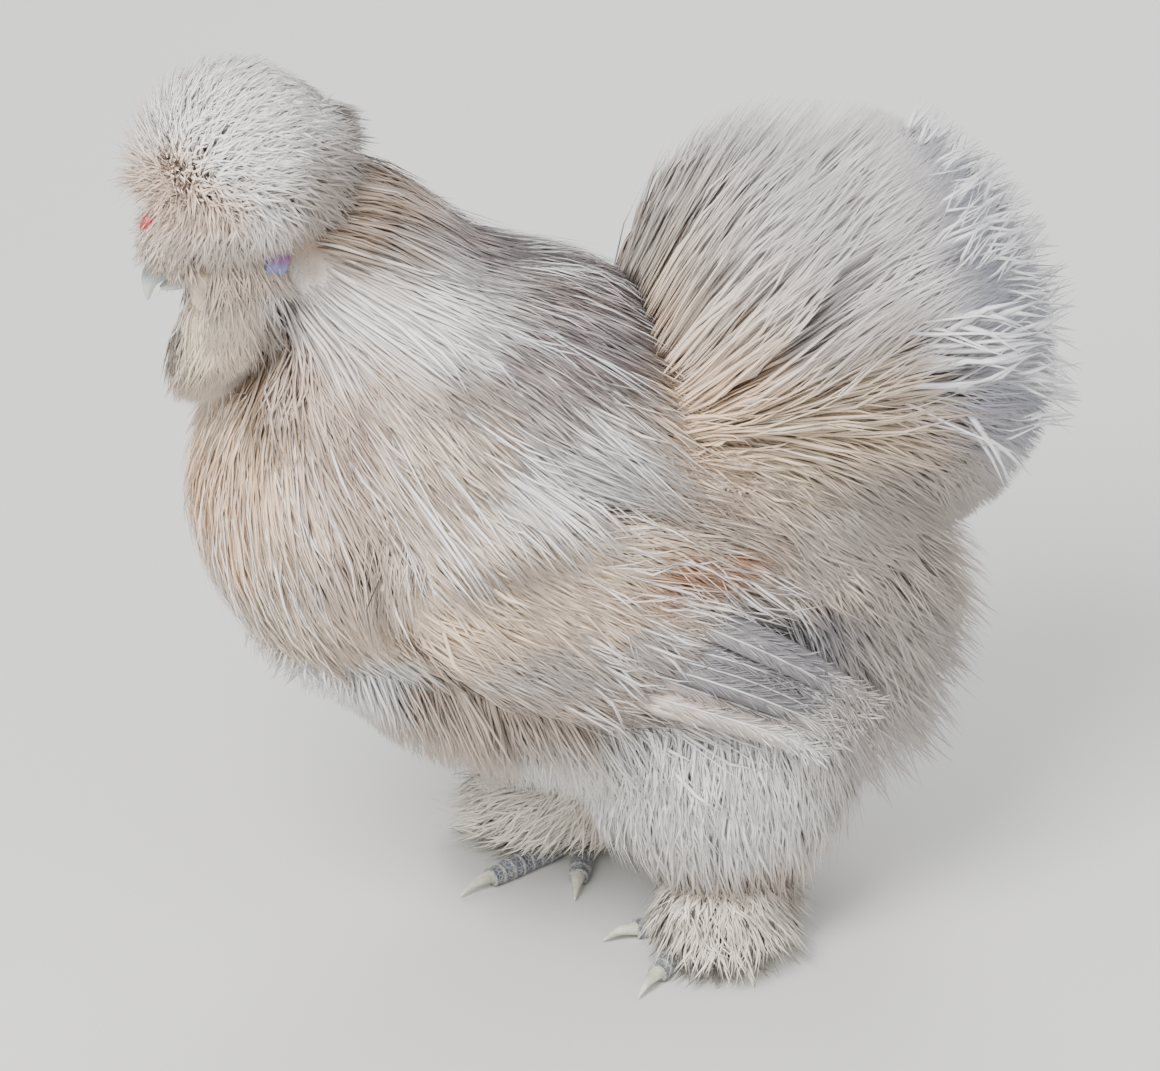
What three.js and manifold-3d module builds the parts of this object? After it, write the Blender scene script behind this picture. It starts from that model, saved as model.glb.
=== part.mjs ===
import * as THREE from "three";
import { mergeVertices } from "three/addons/utils/BufferGeometryUtils.js";
import Module from "manifold-3d";

const wasm = await Module();
wasm.setup();

// A bearded silkie chicken, standing. Millimetres, +Z up, the floor at z = 0.
// It faces -X, with its left side towards -Y. side is -1 for the left and +1 for the right.

// Driving dimensions
const GAP = 0.3;
const SAME_POINT = 0.02;
const SIDES = [-1, 1];
const CORE = 4;
const CREST = { centre: [-139, 0, 284], radius: 19 };
const NECK_POLE = [-131, 0, 258];
const NECK_CUT = 66;
const HACKLE_REACH = 86;
const HACKLE_DEPTH = 12;
const NECK_CENTRE = [-110, 0, 232];
const TORSO_CENTRE = [-28, 0, 145];
const TAIL_CENTRE = [60, 0, 198];
const TAIL_ROOT = [-8, 0, 172];
const TAIL_PITCH = -25;
const WING = { centre: [-32, 64, 141], radii: [74, 14, 35], pitch: 16, yaw: -6 };
const RUMP = 25;
const HIP_WIDTH = 40;
const EYE = { centre: [-152, 11.6, 266], radius: 4.2 };
const EARLOBE = { centre: [-130.5, 14.2, 256], radii: [3.8, 2.6, 6.2], lean: 32 };
const COMB = { centre: [-166.5, 0, 265.5], radii: [3.2, 5.6, 6.4], bulb: 2.1 };
const BEAK_ROOT = [-152, 0, 251];
const BEAK_TIP = [-168.5, 0, 240];
const BEAK_WIDTH = 14;
const NOSTRIL = { centre: [-160.5, 4.6, 252.6], radii: [1.7, 1.6, 0.8] };
// Where each foot stands, the way its middle toe points, from -X towards -Y, and the way its plume fans
const FEET = {
  "-1": { x: 16, y: -34, heading: 48, fluff: 74 },
  1: { x: -14, y: 30, heading: 28, fluff: -28 },
};
const SHANK = { height: 56, radius: 5.6, ankle: 9 };
const TOE = { radius: 4, scute: 7, step: 0.8 };
// Each toe's turn inwards from the middle toe, its length, its heights midway and at the end, its claw's length
const TOES = [
  { turn: 172, length: 17, middle: 5, rise: 2.9, claw: 10 },
  { turn: 42, length: 30, middle: 3.9, rise: 2.9, claw: 12 },
  { turn: 0, length: 45, middle: 3.9, rise: 2.9, claw: 14 },
  { turn: -42, length: 34, middle: 3.9, rise: 2.9, claw: 12 },
  { turn: 140, length: 17, middle: 13, rise: 17, claw: 12 },
];
const PLUME_OUT = 26;
const PLUME_DEPTH = 7;
const LOWEST = 1.6;

// Locks and vanes: length, width, thickness, the slope off the body at the root and at the tip, and how many
const LOCKS = {
  crest: { length: 24, width: 16, thick: 3, slopes: [62, 32], sink: 4, steps: 2, count: 42 },
  beard: { length: 18, width: 13, thick: 2.4, slopes: [48, 16], sink: 4, steps: 2, count: 19 },
  body: { length: 52, width: 28, thick: 3.6, slopes: [27, 8], sink: 5, steps: 2, count: 68 },
  tailFluff: { length: 62, width: 29, thick: 3.6, slopes: [56, 26], sink: 6, steps: 2, count: 62 },
  tailVane: { length: 92, width: 9, thick: 1.4, slopes: [56, 28], sink: 8, steps: 2, count: 20 },
  covert: { length: 38, width: 19, thick: 2.6, slopes: [26, 6], sink: 4, steps: 2, count: 24 },
  flight: { length: 66, width: 11, thick: 1.4, slopes: [10, 2], sink: 6, steps: 2, count: 6 },
  thigh: { length: 36, width: 23, thick: 3, slopes: [34, 8], sink: 5, steps: 2, count: 22 },
};
const LOCK_TAPER = { 2: [0.62, 1], 3: [0.5, 0.92, 0.96] };
const REACH = { crest: 38, tail: { centre: [64, 0, 212], radii: [74, 66, 88] } };
const SWAY = 0.32;
const TRIALS = 5;
const TIP_CLEARANCE = 8;
const GOLDEN_ANGLE = Math.PI * (3 - Math.sqrt(5));

const sideName = (side) => (side < 0 ? "left" : "right");
const degrees = (angle) => (angle * Math.PI) / 180;

// Colours and roughness
const finish = (color, roughness) => new THREE.MeshStandardMaterial({ color, roughness, metalness: 0 });
const FINISHES = {
  plume: finish(0xcbbfb3, 0.9),
  flight: finish(0xc3c2c6, 0.7),
  skin: finish(0x8c4a52, 0.7),
  comb: finish(0xb3323c, 0.55),
  lobe: finish(0x4f74a8, 0.5),
  beak: finish(0x8b9ba3, 0.4),
  eye: finish(0x14100e, 0.1),
  toe: finish(0x5d6470, 0.65),
  claw: finish(0xcfcdb4, 0.4),
};

// Vectors as plain arrays
const add = (a, b) => [a[0] + b[0], a[1] + b[1], a[2] + b[2]];
const scaled = (a, k) => [a[0] * k, a[1] * k, a[2] * k];
const sub = (a, b) => add(a, scaled(b, -1));
const dot = (a, b) => a[0] * b[0] + a[1] * b[1] + a[2] * b[2];
const cross = (a, b) => [a[1] * b[2] - a[2] * b[1], a[2] * b[0] - a[0] * b[2], a[0] * b[1] - a[1] * b[0]];
const unit = (a) => scaled(a, 1 / Math.hypot(...a));
const mix = (a, b, t) => add(scaled(a, 1 - t), scaled(b, t));
const onSide = (point, side) => [point[0], side * point[1], point[2]];

// A seeded draw between 0 and 1
function seeded(seed) {
  let state = seed;
  return () => {
    state = (state * 1664525 + 1013904223) % 4294967296;
    return state / 4294967296;
  };
}

// An ellipsoid's signed distance, close to true near its surface.
// pitch turns it about Y, its -X end up, and yaw turns it about Z.
function blob(centre, radii, pitch = 0, yaw = 0) {
  const [c, s] = [Math.cos(degrees(pitch)), Math.sin(degrees(pitch))];
  const [cy, sy] = [Math.cos(degrees(yaw)), Math.sin(degrees(yaw))];
  return (p) => {
    const [dx, dy, z] = sub(p, centre);
    const [x, y] = [cy * dx + sy * dy, cy * dy - sy * dx];
    const q = [c * x - s * z, y, s * x + c * z];
    const near = Math.hypot(q[0] / radii[0], q[1] / radii[1], q[2] / radii[2]);
    const slope = Math.hypot(q[0] / radii[0] ** 2, q[1] / radii[1] ** 2, q[2] / radii[2] ** 2);
    return slope < 1e-9 ? -Math.min(...radii) : (near * (near - 1)) / slope;
  };
}

// Several bodies run into one another: the soft minimum of their distances
const flow = (parts, softness = 7) => (p) => {
  const distances = parts.map((part) => part(p));
  const least = Math.min(...distances);
  const sum = distances.reduce((total, d) => total + Math.exp((least - d) / softness), 0);
  return least - softness * Math.log(sum);
};

// The way out of a field at a point
function outward(field, p) {
  const step = 0.5;
  const slope = (d) => field(add(p, d)) - field(sub(p, d));
  return unit([slope([step, 0, 0]), slope([0, step, 0]), slope([0, 0, step])]);
}

// The body under the coat
const wayAt = (angle) => [-Math.cos(degrees(angle)), -Math.sin(degrees(angle)), 0];
const fluffCentre = (side, share, height) => {
  const way = scaled(wayAt(FEET[side].fluff), PLUME_OUT * share);
  return [FEET[side].x + way[0], FEET[side].y + way[1], height];
};
const SKULL = flow([blob([-146, 0, 261], [18.5, 15, 16]), blob([-137, 0, 257], [14, 14.5, 13])], 3);
const CROWN = blob(CREST.centre, [CREST.radius, CREST.radius, CREST.radius]);
const THROAT = blob([-146, 0, 236], [13, 16, 15]);
const TRUNK = flow([
  blob([-100, 0, 243], [22, 17, 44], -36),
  blob([-78, 0, 168], [62, 58, 60]),
  blob([-15, 0, 138], [78, 60, 56]),
  blob([38, 0, 125], [42, 48, 52]),
]);
const CUSHION = blob(TAIL_CENTRE, [36, 32, 44], TAIL_PITCH);
const wingField = (side) => blob(onSide(WING.centre, side), WING.radii, WING.pitch, side * WING.yaw);
const thighField = (side) => blob([(FEET[side].x + 14) / 2, side * HIP_WIDTH, 77], [41, 25, 37]);
const plumeField = (side) =>
  flow([
    blob([FEET[side].x + 4, FEET[side].y, 27], [12, 11, 18]),
    blob(fluffCentre(side, 0.8, 18), [18, 18, 6]),
  ], 5);

// A closed three.js geometry as a solid, and back
function solidOf(geometry) {
  const bare = geometry.clone();
  bare.deleteAttribute("normal");
  bare.deleteAttribute("uv");
  const merged = mergeVertices(bare, SAME_POINT);
  const index = merged.index ? merged.index.array : [...Array(merged.attributes.position.count).keys()];
  return new wasm.Manifold(
    new wasm.Mesh({
      numProp: 3,
      vertProperties: new Float32Array(merged.attributes.position.array),
      triVerts: new Uint32Array(index),
    }),
  );
}
function solidFrom(positions, faces) {
  const geometry = new THREE.BufferGeometry();
  geometry.setAttribute("position", new THREE.Float32BufferAttribute(positions, 3));
  geometry.setIndex(faces);
  return solidOf(geometry);
}
function geometryOf(solid) {
  const mesh = solid.getMesh();
  const positions = new Float32Array(mesh.numVert * 3);
  for (let i = 0; i < mesh.numVert; i++) {
    positions.set(mesh.vertProperties.subarray(i * mesh.numProp, i * mesh.numProp + 3), i * 3);
  }
  const geometry = new THREE.BufferGeometry();
  geometry.setAttribute("position", new THREE.BufferAttribute(positions, 3));
  geometry.setIndex(new THREE.BufferAttribute(new Uint32Array(mesh.triVerts), 1));
  geometry.computeVertexNormals();
  return geometry;
}
const largest = (solid) => solid.decompose().reduce((a, b) => (b.volume() > a.volume() ? b : a));
const outerSurface = (solid) => largest(solidOf(geometryOf(largest(solid))));
const joined = (solids) => wasm.Manifold.union(solids);

// The distance along a ray at which a field passes a level
function rayLength(centre, ray, field, level) {
  let [low, high] = [0, 4];
  while (field(add(centre, scaled(ray, high))) < level) {
    low = high;
    high += 4;
  }
  for (let step = 0; step < 24; step++) {
    const middle = (low + high) / 2;
    if (field(add(centre, scaled(ray, middle))) < level) low = middle;
    else high = middle;
  }
  return low;
}

// A skin round a centre at a level of a field, with rays spread as an icosphere's corners
function shell(centre, field, level, detail, stretch = [1, 1, 1]) {
  const geometry = new THREE.IcosahedronGeometry(1, detail);
  const position = geometry.attributes.position;
  for (let i = 0; i < position.count; i++) {
    const corner = [position.getX(i), position.getY(i), position.getZ(i)];
    const ray = unit(corner.map((value, axis) => value * stretch[axis]));
    position.setXYZ(i, ...add(centre, scaled(ray, rayLength(centre, ray, field, level))));
  }
  return solidOf(geometry);
}

// Rings of points joined into a closed tube with flat ends; a last single point makes a tip
function loft(rings, tip = null) {
  const sides = rings[0].length;
  const last = (rings.length - 1) * sides;
  const faces = [];
  for (let start = 0; start < last; start += sides) {
    for (let k = 0; k < sides; k++) {
      const [a, b] = [start + k, start + ((k + 1) % sides)];
      faces.push(a, b, b + sides, a, b + sides, a + sides);
    }
  }
  for (let k = 1; k < sides - 1; k++) {
    faces.push(0, k + 1, k);
    if (!tip) faces.push(last, last + k, last + k + 1);
  }
  if (tip) for (let k = 0; k < sides; k++) faces.push(last + k, last + ((k + 1) % sides), last + sides);
  return solidFrom([...rings.flat(2), ...(tip ?? [])], faces);
}

// A tube round a smooth line, flattened by squash. radius(share, top) gives its radius at a share of the line,
// with top from -1 on its underside to 1 above.
function tube(points, radius, sides, rings, squash = 1) {
  const curve = new THREE.CatmullRomCurve3(points.map((p) => new THREE.Vector3(...p)));
  const loops = [];
  for (const share of rings) {
    const at = curve.getPoint(Math.min(share, 1)).toArray();
    const along = curve.getTangent(Math.min(share, 1)).toArray();
    const across = unit(cross([0, 0, 1], along));
    const top = cross(along, across);
    const loop = [];
    for (let k = 0; k < sides; k++) {
      const angle = (2 * Math.PI * (k + 0.5)) / sides;
      const [wide, high] = [Math.cos(angle), Math.sin(angle)];
      const reach = radius(share, high);
      loop.push(add(at, add(scaled(across, wide * reach), scaled(top, high * reach * squash))));
    }
    loops.push(loop);
  }
  return loft(loops);
}
const evenly = (count) => Array.from({ length: count + 1 }, (_, i) => i / count);
function ball(centre, radii, detail, lean = 0) {
  const geometry = new THREE.IcosahedronGeometry(1, detail);
  geometry.scale(...radii);
  geometry.rotateY(degrees(lean));
  geometry.translate(...centre);
  return solidOf(geometry);
}
const round = (radius) => [radius, radius, radius];
function floorBlock(level) {
  const geometry = new THREE.BoxGeometry(600, 600, 50);
  geometry.translate(0, 0, level - 25);
  return solidOf(geometry);
}

// A lock or vane: a flat blade, ridged above, that leaves its root at one slope off the body and lies down to
// another. way(p, out) is the lie of the coat. g grows it all round, for clearance.
function lock(field, root, way, size, sway, g) {
  const step = (size.length + size.sink) / size.steps;
  const widths = LOCK_TAPER[size.steps];
  const edge = Math.atan2(2 * size.thick, size.width);
  const spread = (g * (1 + Math.cos(edge))) / Math.sin(edge);
  const rings = [];
  let at = root;
  let along = null;
  let up = null;
  for (let i = 0; i < size.steps; i++) {
    const out = outward(field, at);
    const share = i / size.steps;
    const slope = degrees(size.slopes[0] + (size.slopes[1] - size.slopes[0]) * share);
    const lie = way(at, out);
    const side = unit(cross(out, lie));
    const level = unit(add(lie, scaled(side, sway * (0.4 + share))));
    const aim = unit(add(scaled(level, Math.cos(slope)), scaled(out, Math.sin(slope))));
    along = along ? unit(mix(along, aim, 0.65)) : aim;
    if (i === 0) at = sub(at, scaled(along, size.sink));
    const across = unit(cross(along, out));
    up = cross(across, along);
    const half = (widths[i] * size.width) / 2 + spread;
    const foot = sub(at, scaled(up, g));
    rings.push([
      sub(foot, scaled(across, half)),
      add(at, scaled(up, widths[i] * size.thick + g)),
      add(foot, scaled(across, half)),
    ]);
    at = add(at, scaled(along, step));
    at[2] = Math.max(at[2], LOWEST + g);
  }
  const point = add(at, add(scaled(along, TIP_CLEARANCE * g), scaled(up, -g / 2)));
  return { tip: at, form: () => loft(rings, point) };
}

// Locks spread evenly over a core by the golden angle, where the region takes them
function coat(lie, g) {
  const { centre, field, level, way, size, seed, takes, reach } = lie;
  const { stretch = [1, 1, 1], clears = () => true } = lie;
  const random = seeded(seed);
  const locks = [];
  for (let i = 0; i < size.count; i++) {
    const height = 1 - (2 * i + 1) / size.count;
    const angle = GOLDEN_ANGLE * i + (random() - 0.5) * SWAY;
    const flat = Math.sqrt(1 - height * height);
    const spread = [flat * Math.cos(angle), flat * Math.sin(angle), height];
    const ray = unit(spread.map((value, axis) => value * stretch[axis]));
    const root = add(centre, scaled(ray, rayLength(centre, ray, field, level)));
    const longer = 0.88 + 0.24 * random();
    const wider = 0.88 + 0.24 * random();
    const sway = (random() - 0.5) * 2 * SWAY;
    if (!takes(root)) continue;
    const own = { ...size, length: size.length * longer, width: size.width * wider };
    const tip = () => lock(field, root, way, own, sway, 0).tip;
    for (let trial = 0; reach && trial < TRIALS; trial++) own.length -= reach(tip());
    if (!clears(tip())) continue;
    locks.push(lock(field, root, way, own, sway, g).form());
  }
  return locks;
}

// The lie of the coat, region by region
const flatOn = (way, out) => unit(sub(way, scaled(out, dot(way, out) * 0.98)));
const clearOf = (way, out) => unit(sub(way, scaled(out, Math.min(0, dot(way, out)) * 0.98)));
const backwards = (p, out) => flatOn([0.8, 0, p[0] > RUMP ? -1.1 : -0.6], out);
const crestWay = (p, out) => flatOn(sub(p, add(CREST.centre, [-5, 0, 14])), out);
const beardWay = (p, out) => flatOn([0.25, Math.sign(p[1]) * 0.2, -1], out);
const tailWay = (p, out) => {
  const arch = Math.max(0, (p[2] - TAIL_CENTRE[2]) / 200);
  return clearOf(add(unit(sub(p, TAIL_ROOT)), [arch, 0, 0]), out);
};
const wingWay = (p, out) => flatOn([0.86, 0, -0.5], out);
const legWay = (p, out) => flatOn([0.2, 0, -1], out);

// The head: skull with lids, eyes, comb, earlobes and beak
function lids(side, g) {
  const ring = new THREE.TorusGeometry(EYE.radius - 0.1, 1.1 + g, 4, 10);
  ring.scale(1.1, 0.86, 1);
  ring.rotateX(degrees(90));
  ring.translate(...add(onSide(EYE.centre, side), [0, side * 1.3, 0]));
  return solidOf(ring);
}
const headForm = (g) => joined([shell([-144, 0, 260], SKULL, g, 2), ...SIDES.map((side) => lids(side, g))]);
const eyeForm = (side, g) => ball(onSide(EYE.centre, side), round(EYE.radius + g), 1);
const grownBy = (radii, g) => radii.map((radius) => radius + g);
const lobeForm = (side, g) => ball(onSide(EARLOBE.centre, side), grownBy(EARLOBE.radii, g), 1, EARLOBE.lean);
function combForm(g) {
  const random = seeded(5);
  const bulbs = [ball(COMB.centre, grownBy(COMB.radii, g - 1), 1)];
  for (let i = 0; i < 5; i++) {
    const height = 1 - (2 * i + 1) / 5;
    const angle = GOLDEN_ANGLE * i + 2;
    const flat = Math.sqrt(1 - height * height);
    const reach = [-Math.abs(flat * Math.cos(angle)), flat * Math.sin(angle), height];
    const centre = add(COMB.centre, reach.map((value, axis) => value * (COMB.radii[axis] - 1)));
    bulbs.push(ball(centre, round(COMB.bulb * (0.85 + 0.4 * random()) + g), 1));
  }
  return joined(bulbs);
}
function beakUpper(g) {
  const line = [
    BEAK_ROOT,
    add(BEAK_TIP, [8, 0, 12.5]),
    add(BEAK_TIP, [1.6, 0, 8]),
    add(BEAK_TIP, [0, 0, -g]),
  ];
  const form = tube(line, (share) => (BEAK_WIDTH / 2) * (1 - share ** 1.6) + 0.7 + g, 8, evenly(6), 0.8);
  if (g > 0) return form;
  return form.subtract(joined(SIDES.map((side) => ball(onSide(NOSTRIL.centre, side), NOSTRIL.radii, 0))));
}
function beakLower(g) {
  const line = [add(BEAK_ROOT, [0, 0, -3]), add(BEAK_TIP, [9, 0, 5.4]), add(BEAK_TIP, [4.4 - g, 0, 3.6])];
  return tube(line, (share) => (BEAK_WIDTH / 2) * (0.8 - 0.6 * share ** 1.5) + g, 8, evenly(4), 0.62);
}

// A foot: the shank and five toes with raised scutes, cut flat at the floor
const toeWay = (side, toe) => wayAt(FEET[side].heading + side * toe.turn);
const toePoint = (side, toe, reach, height) =>
  add([FEET[side].x, FEET[side].y, height], scaled(toeWay(side, toe), reach));
const toeRadius = (share) => TOE.radius * (1.18 - 0.36 * share);
function toeForm(side, toe, g) {
  const line = [
    toePoint(side, toe, 0, SHANK.ankle),
    toePoint(side, toe, toe.length * 0.4, toe.middle),
    toePoint(side, toe, toe.length + g, toe.rise),
  ];
  if (g > 0) return tube(line, (share) => Math.SQRT2 * (toeRadius(share) + TOE.step + g), 4, evenly(2));
  const count = Math.round(toe.length / TOE.scute);
  const rings = [0];
  for (let i = 0; i < count; i++) rings.push((i + 0.12) / count, (i + 0.98) / count);
  const raise = (share) => (share > 0 ? TOE.step * (1 - ((share * count) % 1)) : 0);
  return tube(line, (share, top) => toeRadius(share) + raise(share) * Math.max(0, top), 6, rings);
}
function shankForm(side, g) {
  const { x, y } = FEET[side];
  const line = [[x + 10, y, SHANK.height], [x + 4, y, SHANK.height / 2], [x, y, SHANK.ankle - 3]];
  return tube(line, (share) => SHANK.radius + 0.8 * share + g, 8, evenly(2));
}
function footForm(side, g) {
  return joined([shankForm(side, g), ...TOES.map((toe) => toeForm(side, toe, g))]).subtract(floorBlock(0));
}
function clawForm(side, toe, g) {
  const drop = toe.rise > SHANK.ankle ? 0 : 1;
  const line = [
    toePoint(side, toe, toe.length - 2, toe.rise + 0.4 * drop),
    toePoint(side, toe, toe.length + toe.claw * 0.5, toe.rise + 0.8),
    toePoint(side, toe, toe.length + toe.claw + g, toe.rise + 0.6 - 2.6 * drop),
  ];
  return tube(line, (share) => 2.5 - 2 * share ** 1.3 + g, 5, evenly(3)).subtract(floorBlock(0.1));
}

// Plumage: a core, and the locks and vanes that grow on it
function crestForm(g) {
  const toComb = unit(sub(COMB.centre, CREST.centre));
  const clears = (p) => TRUNK(p) > CORE;
  const takes = (p) => dot(unit(sub(p, CREST.centre)), toComb) < 0.88 && p[2] > 264 && clears(p);
  const size = LOCKS.crest;
  const reach = (tip) => Math.hypot(...sub(tip, CREST.centre)) - REACH.crest;
  const centre = CREST.centre;
  const lie = { centre, field: CROWN, level: 0, way: crestWay, size, seed: 11, takes, reach, clears };
  return joined([shell(centre, CROWN, g, 2), ...coat(lie, g)]);
}
function beardForm(g) {
  const centre = [-146, 0, 236];
  const clears = (p) => TRUNK(p) > CORE;
  const takes = (p) => p[2] < 246 && p[0] < -132 && clears(p);
  const lie = { centre, field: THROAT, level: 0, way: beardWay, size: LOCKS.beard, seed: 12, takes, clears };
  return joined([shell(centre, THROAT, g, 2), ...coat(lie, g)]);
}
const neckForm = (g) =>
  shell(NECK_CENTRE, TRUNK, HACKLE_DEPTH + g, 5).intersect(ball(NECK_POLE, round(HACKLE_REACH + g), 3));
function torsoForm(g) {
  const takes = (p) => {
    const under = p[0] < -122 ? 3 : p[2] > 200 ? 44 : 22;
    const hackle = Math.hypot(...sub(p, NECK_POLE)) < NECK_CUT + under;
    const covered = SIDES.some((side) => wingField(side)(p) < 9 || thighField(side)(p) < 2);
    return !hackle && !covered && CUSHION(p) > 4;
  };
  const stretch = [2.2, 1, 1.1];
  const core = shell(TORSO_CENTRE, TRUNK, CORE + g, 3, stretch);
  const size = LOCKS.body;
  const centre = TORSO_CENTRE;
  const lie = { centre, field: TRUNK, level: CORE, way: backwards, size, seed: 14, takes, stretch };
  return joined([core, ...coat(lie, g)]);
}
function tailForm(g) {
  const onTrunk = (p) => TRUNK(p) < 8;
  const fluff = { centre: TAIL_CENTRE, field: CUSHION, level: 0, way: tailWay, size: LOCKS.tailFluff };
  const envelope = blob(REACH.tail.centre, REACH.tail.radii, TAIL_PITCH);
  fluff.seed = 41;
  fluff.reach = (tip) => Math.max(-12, envelope(tip));
  fluff.stretch = [1, 1, 1.4];
  fluff.takes = (p) => !onTrunk(p) && p[2] > TAIL_CENTRE[2] - 30;
  const vane = { ...fluff, size: LOCKS.tailVane, seed: 16 };
  vane.takes = (p) => fluff.takes(p) && p[0] > TAIL_CENTRE[0] - 12;
  return joined([shell(TAIL_CENTRE, CUSHION, g, 3), ...coat(fluff, g), ...coat(vane, g)]);
}
function wingForm(side, g) {
  const field = wingField(side);
  const centre = onSide(WING.centre, side);
  const takes = (p) => side * (p[1] - centre[1]) > 3 - 0.1 * (p[0] - centre[0]);
  const stretch = [3, 1, 1.6];
  const lie = { centre, field, level: -2, way: wingWay, size: LOCKS.covert, seed: 17, takes, stretch };
  const vanes = [];
  for (let i = 0; i < LOCKS.flight.count; i++) {
    const share = i / (LOCKS.flight.count - 1);
    const ray = unit([0.9 - 0.5 * share, 0.02 * side, -0.16 - 0.5 * share]);
    const root = add(centre, scaled(ray, rayLength(centre, ray, field, -2) * 0.86));
    const size = { ...LOCKS.flight, length: LOCKS.flight.length * (0.72 + 0.28 * Math.sin(Math.PI * share)) };
    const way = () => unit([0.93 - 0.08 * share, -0.12 * side, -0.3 - 0.2 * share]);
    vanes.push(lock((p) => side * p[1] + (0.05 * p[0] - 0.3 * p[2]), root, way, size, 0, g).form());
  }
  return joined([shell(centre, field, -2 + g, 2, stretch), ...coat(lie, g), ...vanes]);
}
function thighForm(side, g) {
  const field = thighField(side);
  const centre = [(FEET[side].x + 14) / 2, side * HIP_WIDTH, 77];
  const takes = (p) => p[2] < 92 && p[2] > 50 && TRUNK(p) > 2;
  const locks = coat({ centre, field, level: 0, way: legWay, size: LOCKS.thigh, seed: 18, takes }, g);
  return joined([shell(centre, field, g, 2), ...locks]);
}
function plumeForm(side, g) {
  const centre = fluffCentre(side, 0.2, 23);
  return shell(centre, plumeField(side), PLUME_DEPTH + g, 2).subtract(floorBlock(0.6 - g));
}

// Each node is cut clear of the nodes it lies under, then kept as one closed body
const solids = {};
const grown = {};
const finishes = {};
function keep(name, material, make, above = []) {
  const others = above.filter((other) => grown[other]).map((other) => grown[other]);
  solids[name] = outerSurface(others.length ? make(0).subtract(joined(others)) : make(0));
  grown[name] = make(GAP);
  finishes[name] = FINISHES[material];
}
const both = (name) => SIDES.map((side) => `${name}_${sideName(side)}`);
const keepBoth = (name, material, make, above) =>
  SIDES.forEach((side) => keep(`${name}_${sideName(side)}`, material, (g) => make(side, g), above));

keepBoth("eye", "eye", eyeForm);
keep("head", "skin", headForm, both("eye"));
keepBoth("earlobe", "lobe", lobeForm, ["head"]);
keep("comb", "comb", combForm, ["head"]);
keep("beak_upper", "beak", beakUpper, ["head", "comb"]);
keep("beak_lower", "beak", beakLower, ["head", "beak_upper"]);
const FACE = [...both("eye"), "head", ...both("earlobe"), "comb", "beak_upper", "beak_lower"];
keep("crest", "plume", crestForm, FACE);
keep("beard", "plume", beardForm, [...FACE, "crest"]);
keep("neck", "plume", neckForm, [...FACE, "crest", "beard"]);
keepBoth("wing", "flight", wingForm, ["neck"]);
keep("tail", "flight", tailForm, ["neck", ...both("wing")]);
keep("torso", "plume", torsoForm, ["neck", "tail", ...both("wing"), "beard"]);
for (const side of SIDES) {
  const foot = `foot_${sideName(side)}`;
  keep(foot, "toe", (g) => footForm(side, g));
  TOES.forEach((toe, i) => {
    keep(`claw_${sideName(side)}_${i + 1}`, "claw", (g) => clawForm(side, toe, g), [foot]);
  });
}
const STANDING = Object.keys(solids).filter((name) => name.startsWith("foot") || name.startsWith("claw"));
const UPPER = ["torso", "tail", ...both("wing")];
keepBoth("thigh", "plume", thighForm, [...UPPER, "thigh_left", ...STANDING]);
keepBoth("plume", "plume", plumeForm, [...UPPER, ...both("thigh"), "plume_left", ...STANDING]);

const bird = new THREE.Group();
bird.name = "silkie_chicken";
for (const [name, solid] of Object.entries(solids)) {
  const mesh = new THREE.Mesh(geometryOf(solid), finishes[name]);
  mesh.name = name;
  bird.add(mesh);
}
const box = new THREE.Box3().setFromObject(bird);
const middle = box.getCenter(new THREE.Vector3());
bird.position.set(-middle.x, -middle.y, -box.min.z);
export default bird;
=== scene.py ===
"""A bearded silkie chicken, standing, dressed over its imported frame.

Shapes are worked out in the model's own millimetres, then moved onto the frame and turned into metres.
The bird faces -X with its left side towards -Y. side is -1 for the left and +1 for the right.
"""
import math

import bpy
import numpy as np
from mathutils import Matrix, Vector


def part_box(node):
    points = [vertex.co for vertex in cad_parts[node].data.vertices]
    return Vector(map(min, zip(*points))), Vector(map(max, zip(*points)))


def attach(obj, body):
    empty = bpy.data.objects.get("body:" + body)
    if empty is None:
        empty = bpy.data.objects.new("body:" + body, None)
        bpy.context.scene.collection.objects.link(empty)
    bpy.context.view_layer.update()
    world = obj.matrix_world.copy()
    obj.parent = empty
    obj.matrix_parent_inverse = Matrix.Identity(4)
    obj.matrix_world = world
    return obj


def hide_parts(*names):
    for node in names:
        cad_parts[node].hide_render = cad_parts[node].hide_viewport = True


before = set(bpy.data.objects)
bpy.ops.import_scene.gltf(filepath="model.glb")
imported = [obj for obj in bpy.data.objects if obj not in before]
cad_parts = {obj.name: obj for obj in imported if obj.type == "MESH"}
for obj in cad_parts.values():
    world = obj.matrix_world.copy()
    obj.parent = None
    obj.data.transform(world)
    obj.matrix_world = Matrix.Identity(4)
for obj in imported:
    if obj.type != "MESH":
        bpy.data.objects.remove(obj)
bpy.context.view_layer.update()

# Driving dimensions, in millimetres and degrees: how low strands may reach, how fine the skin's grid is, and
# how far the trunk's skin swells past its parts and a wing's lies inside its own
MM = 0.001
SIDES = (-1, 1)
LOWEST = 1.2
SKIN_STEP = 3.2
TRUNK_SWELL = 4
WING_DEPTH = 2

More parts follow.
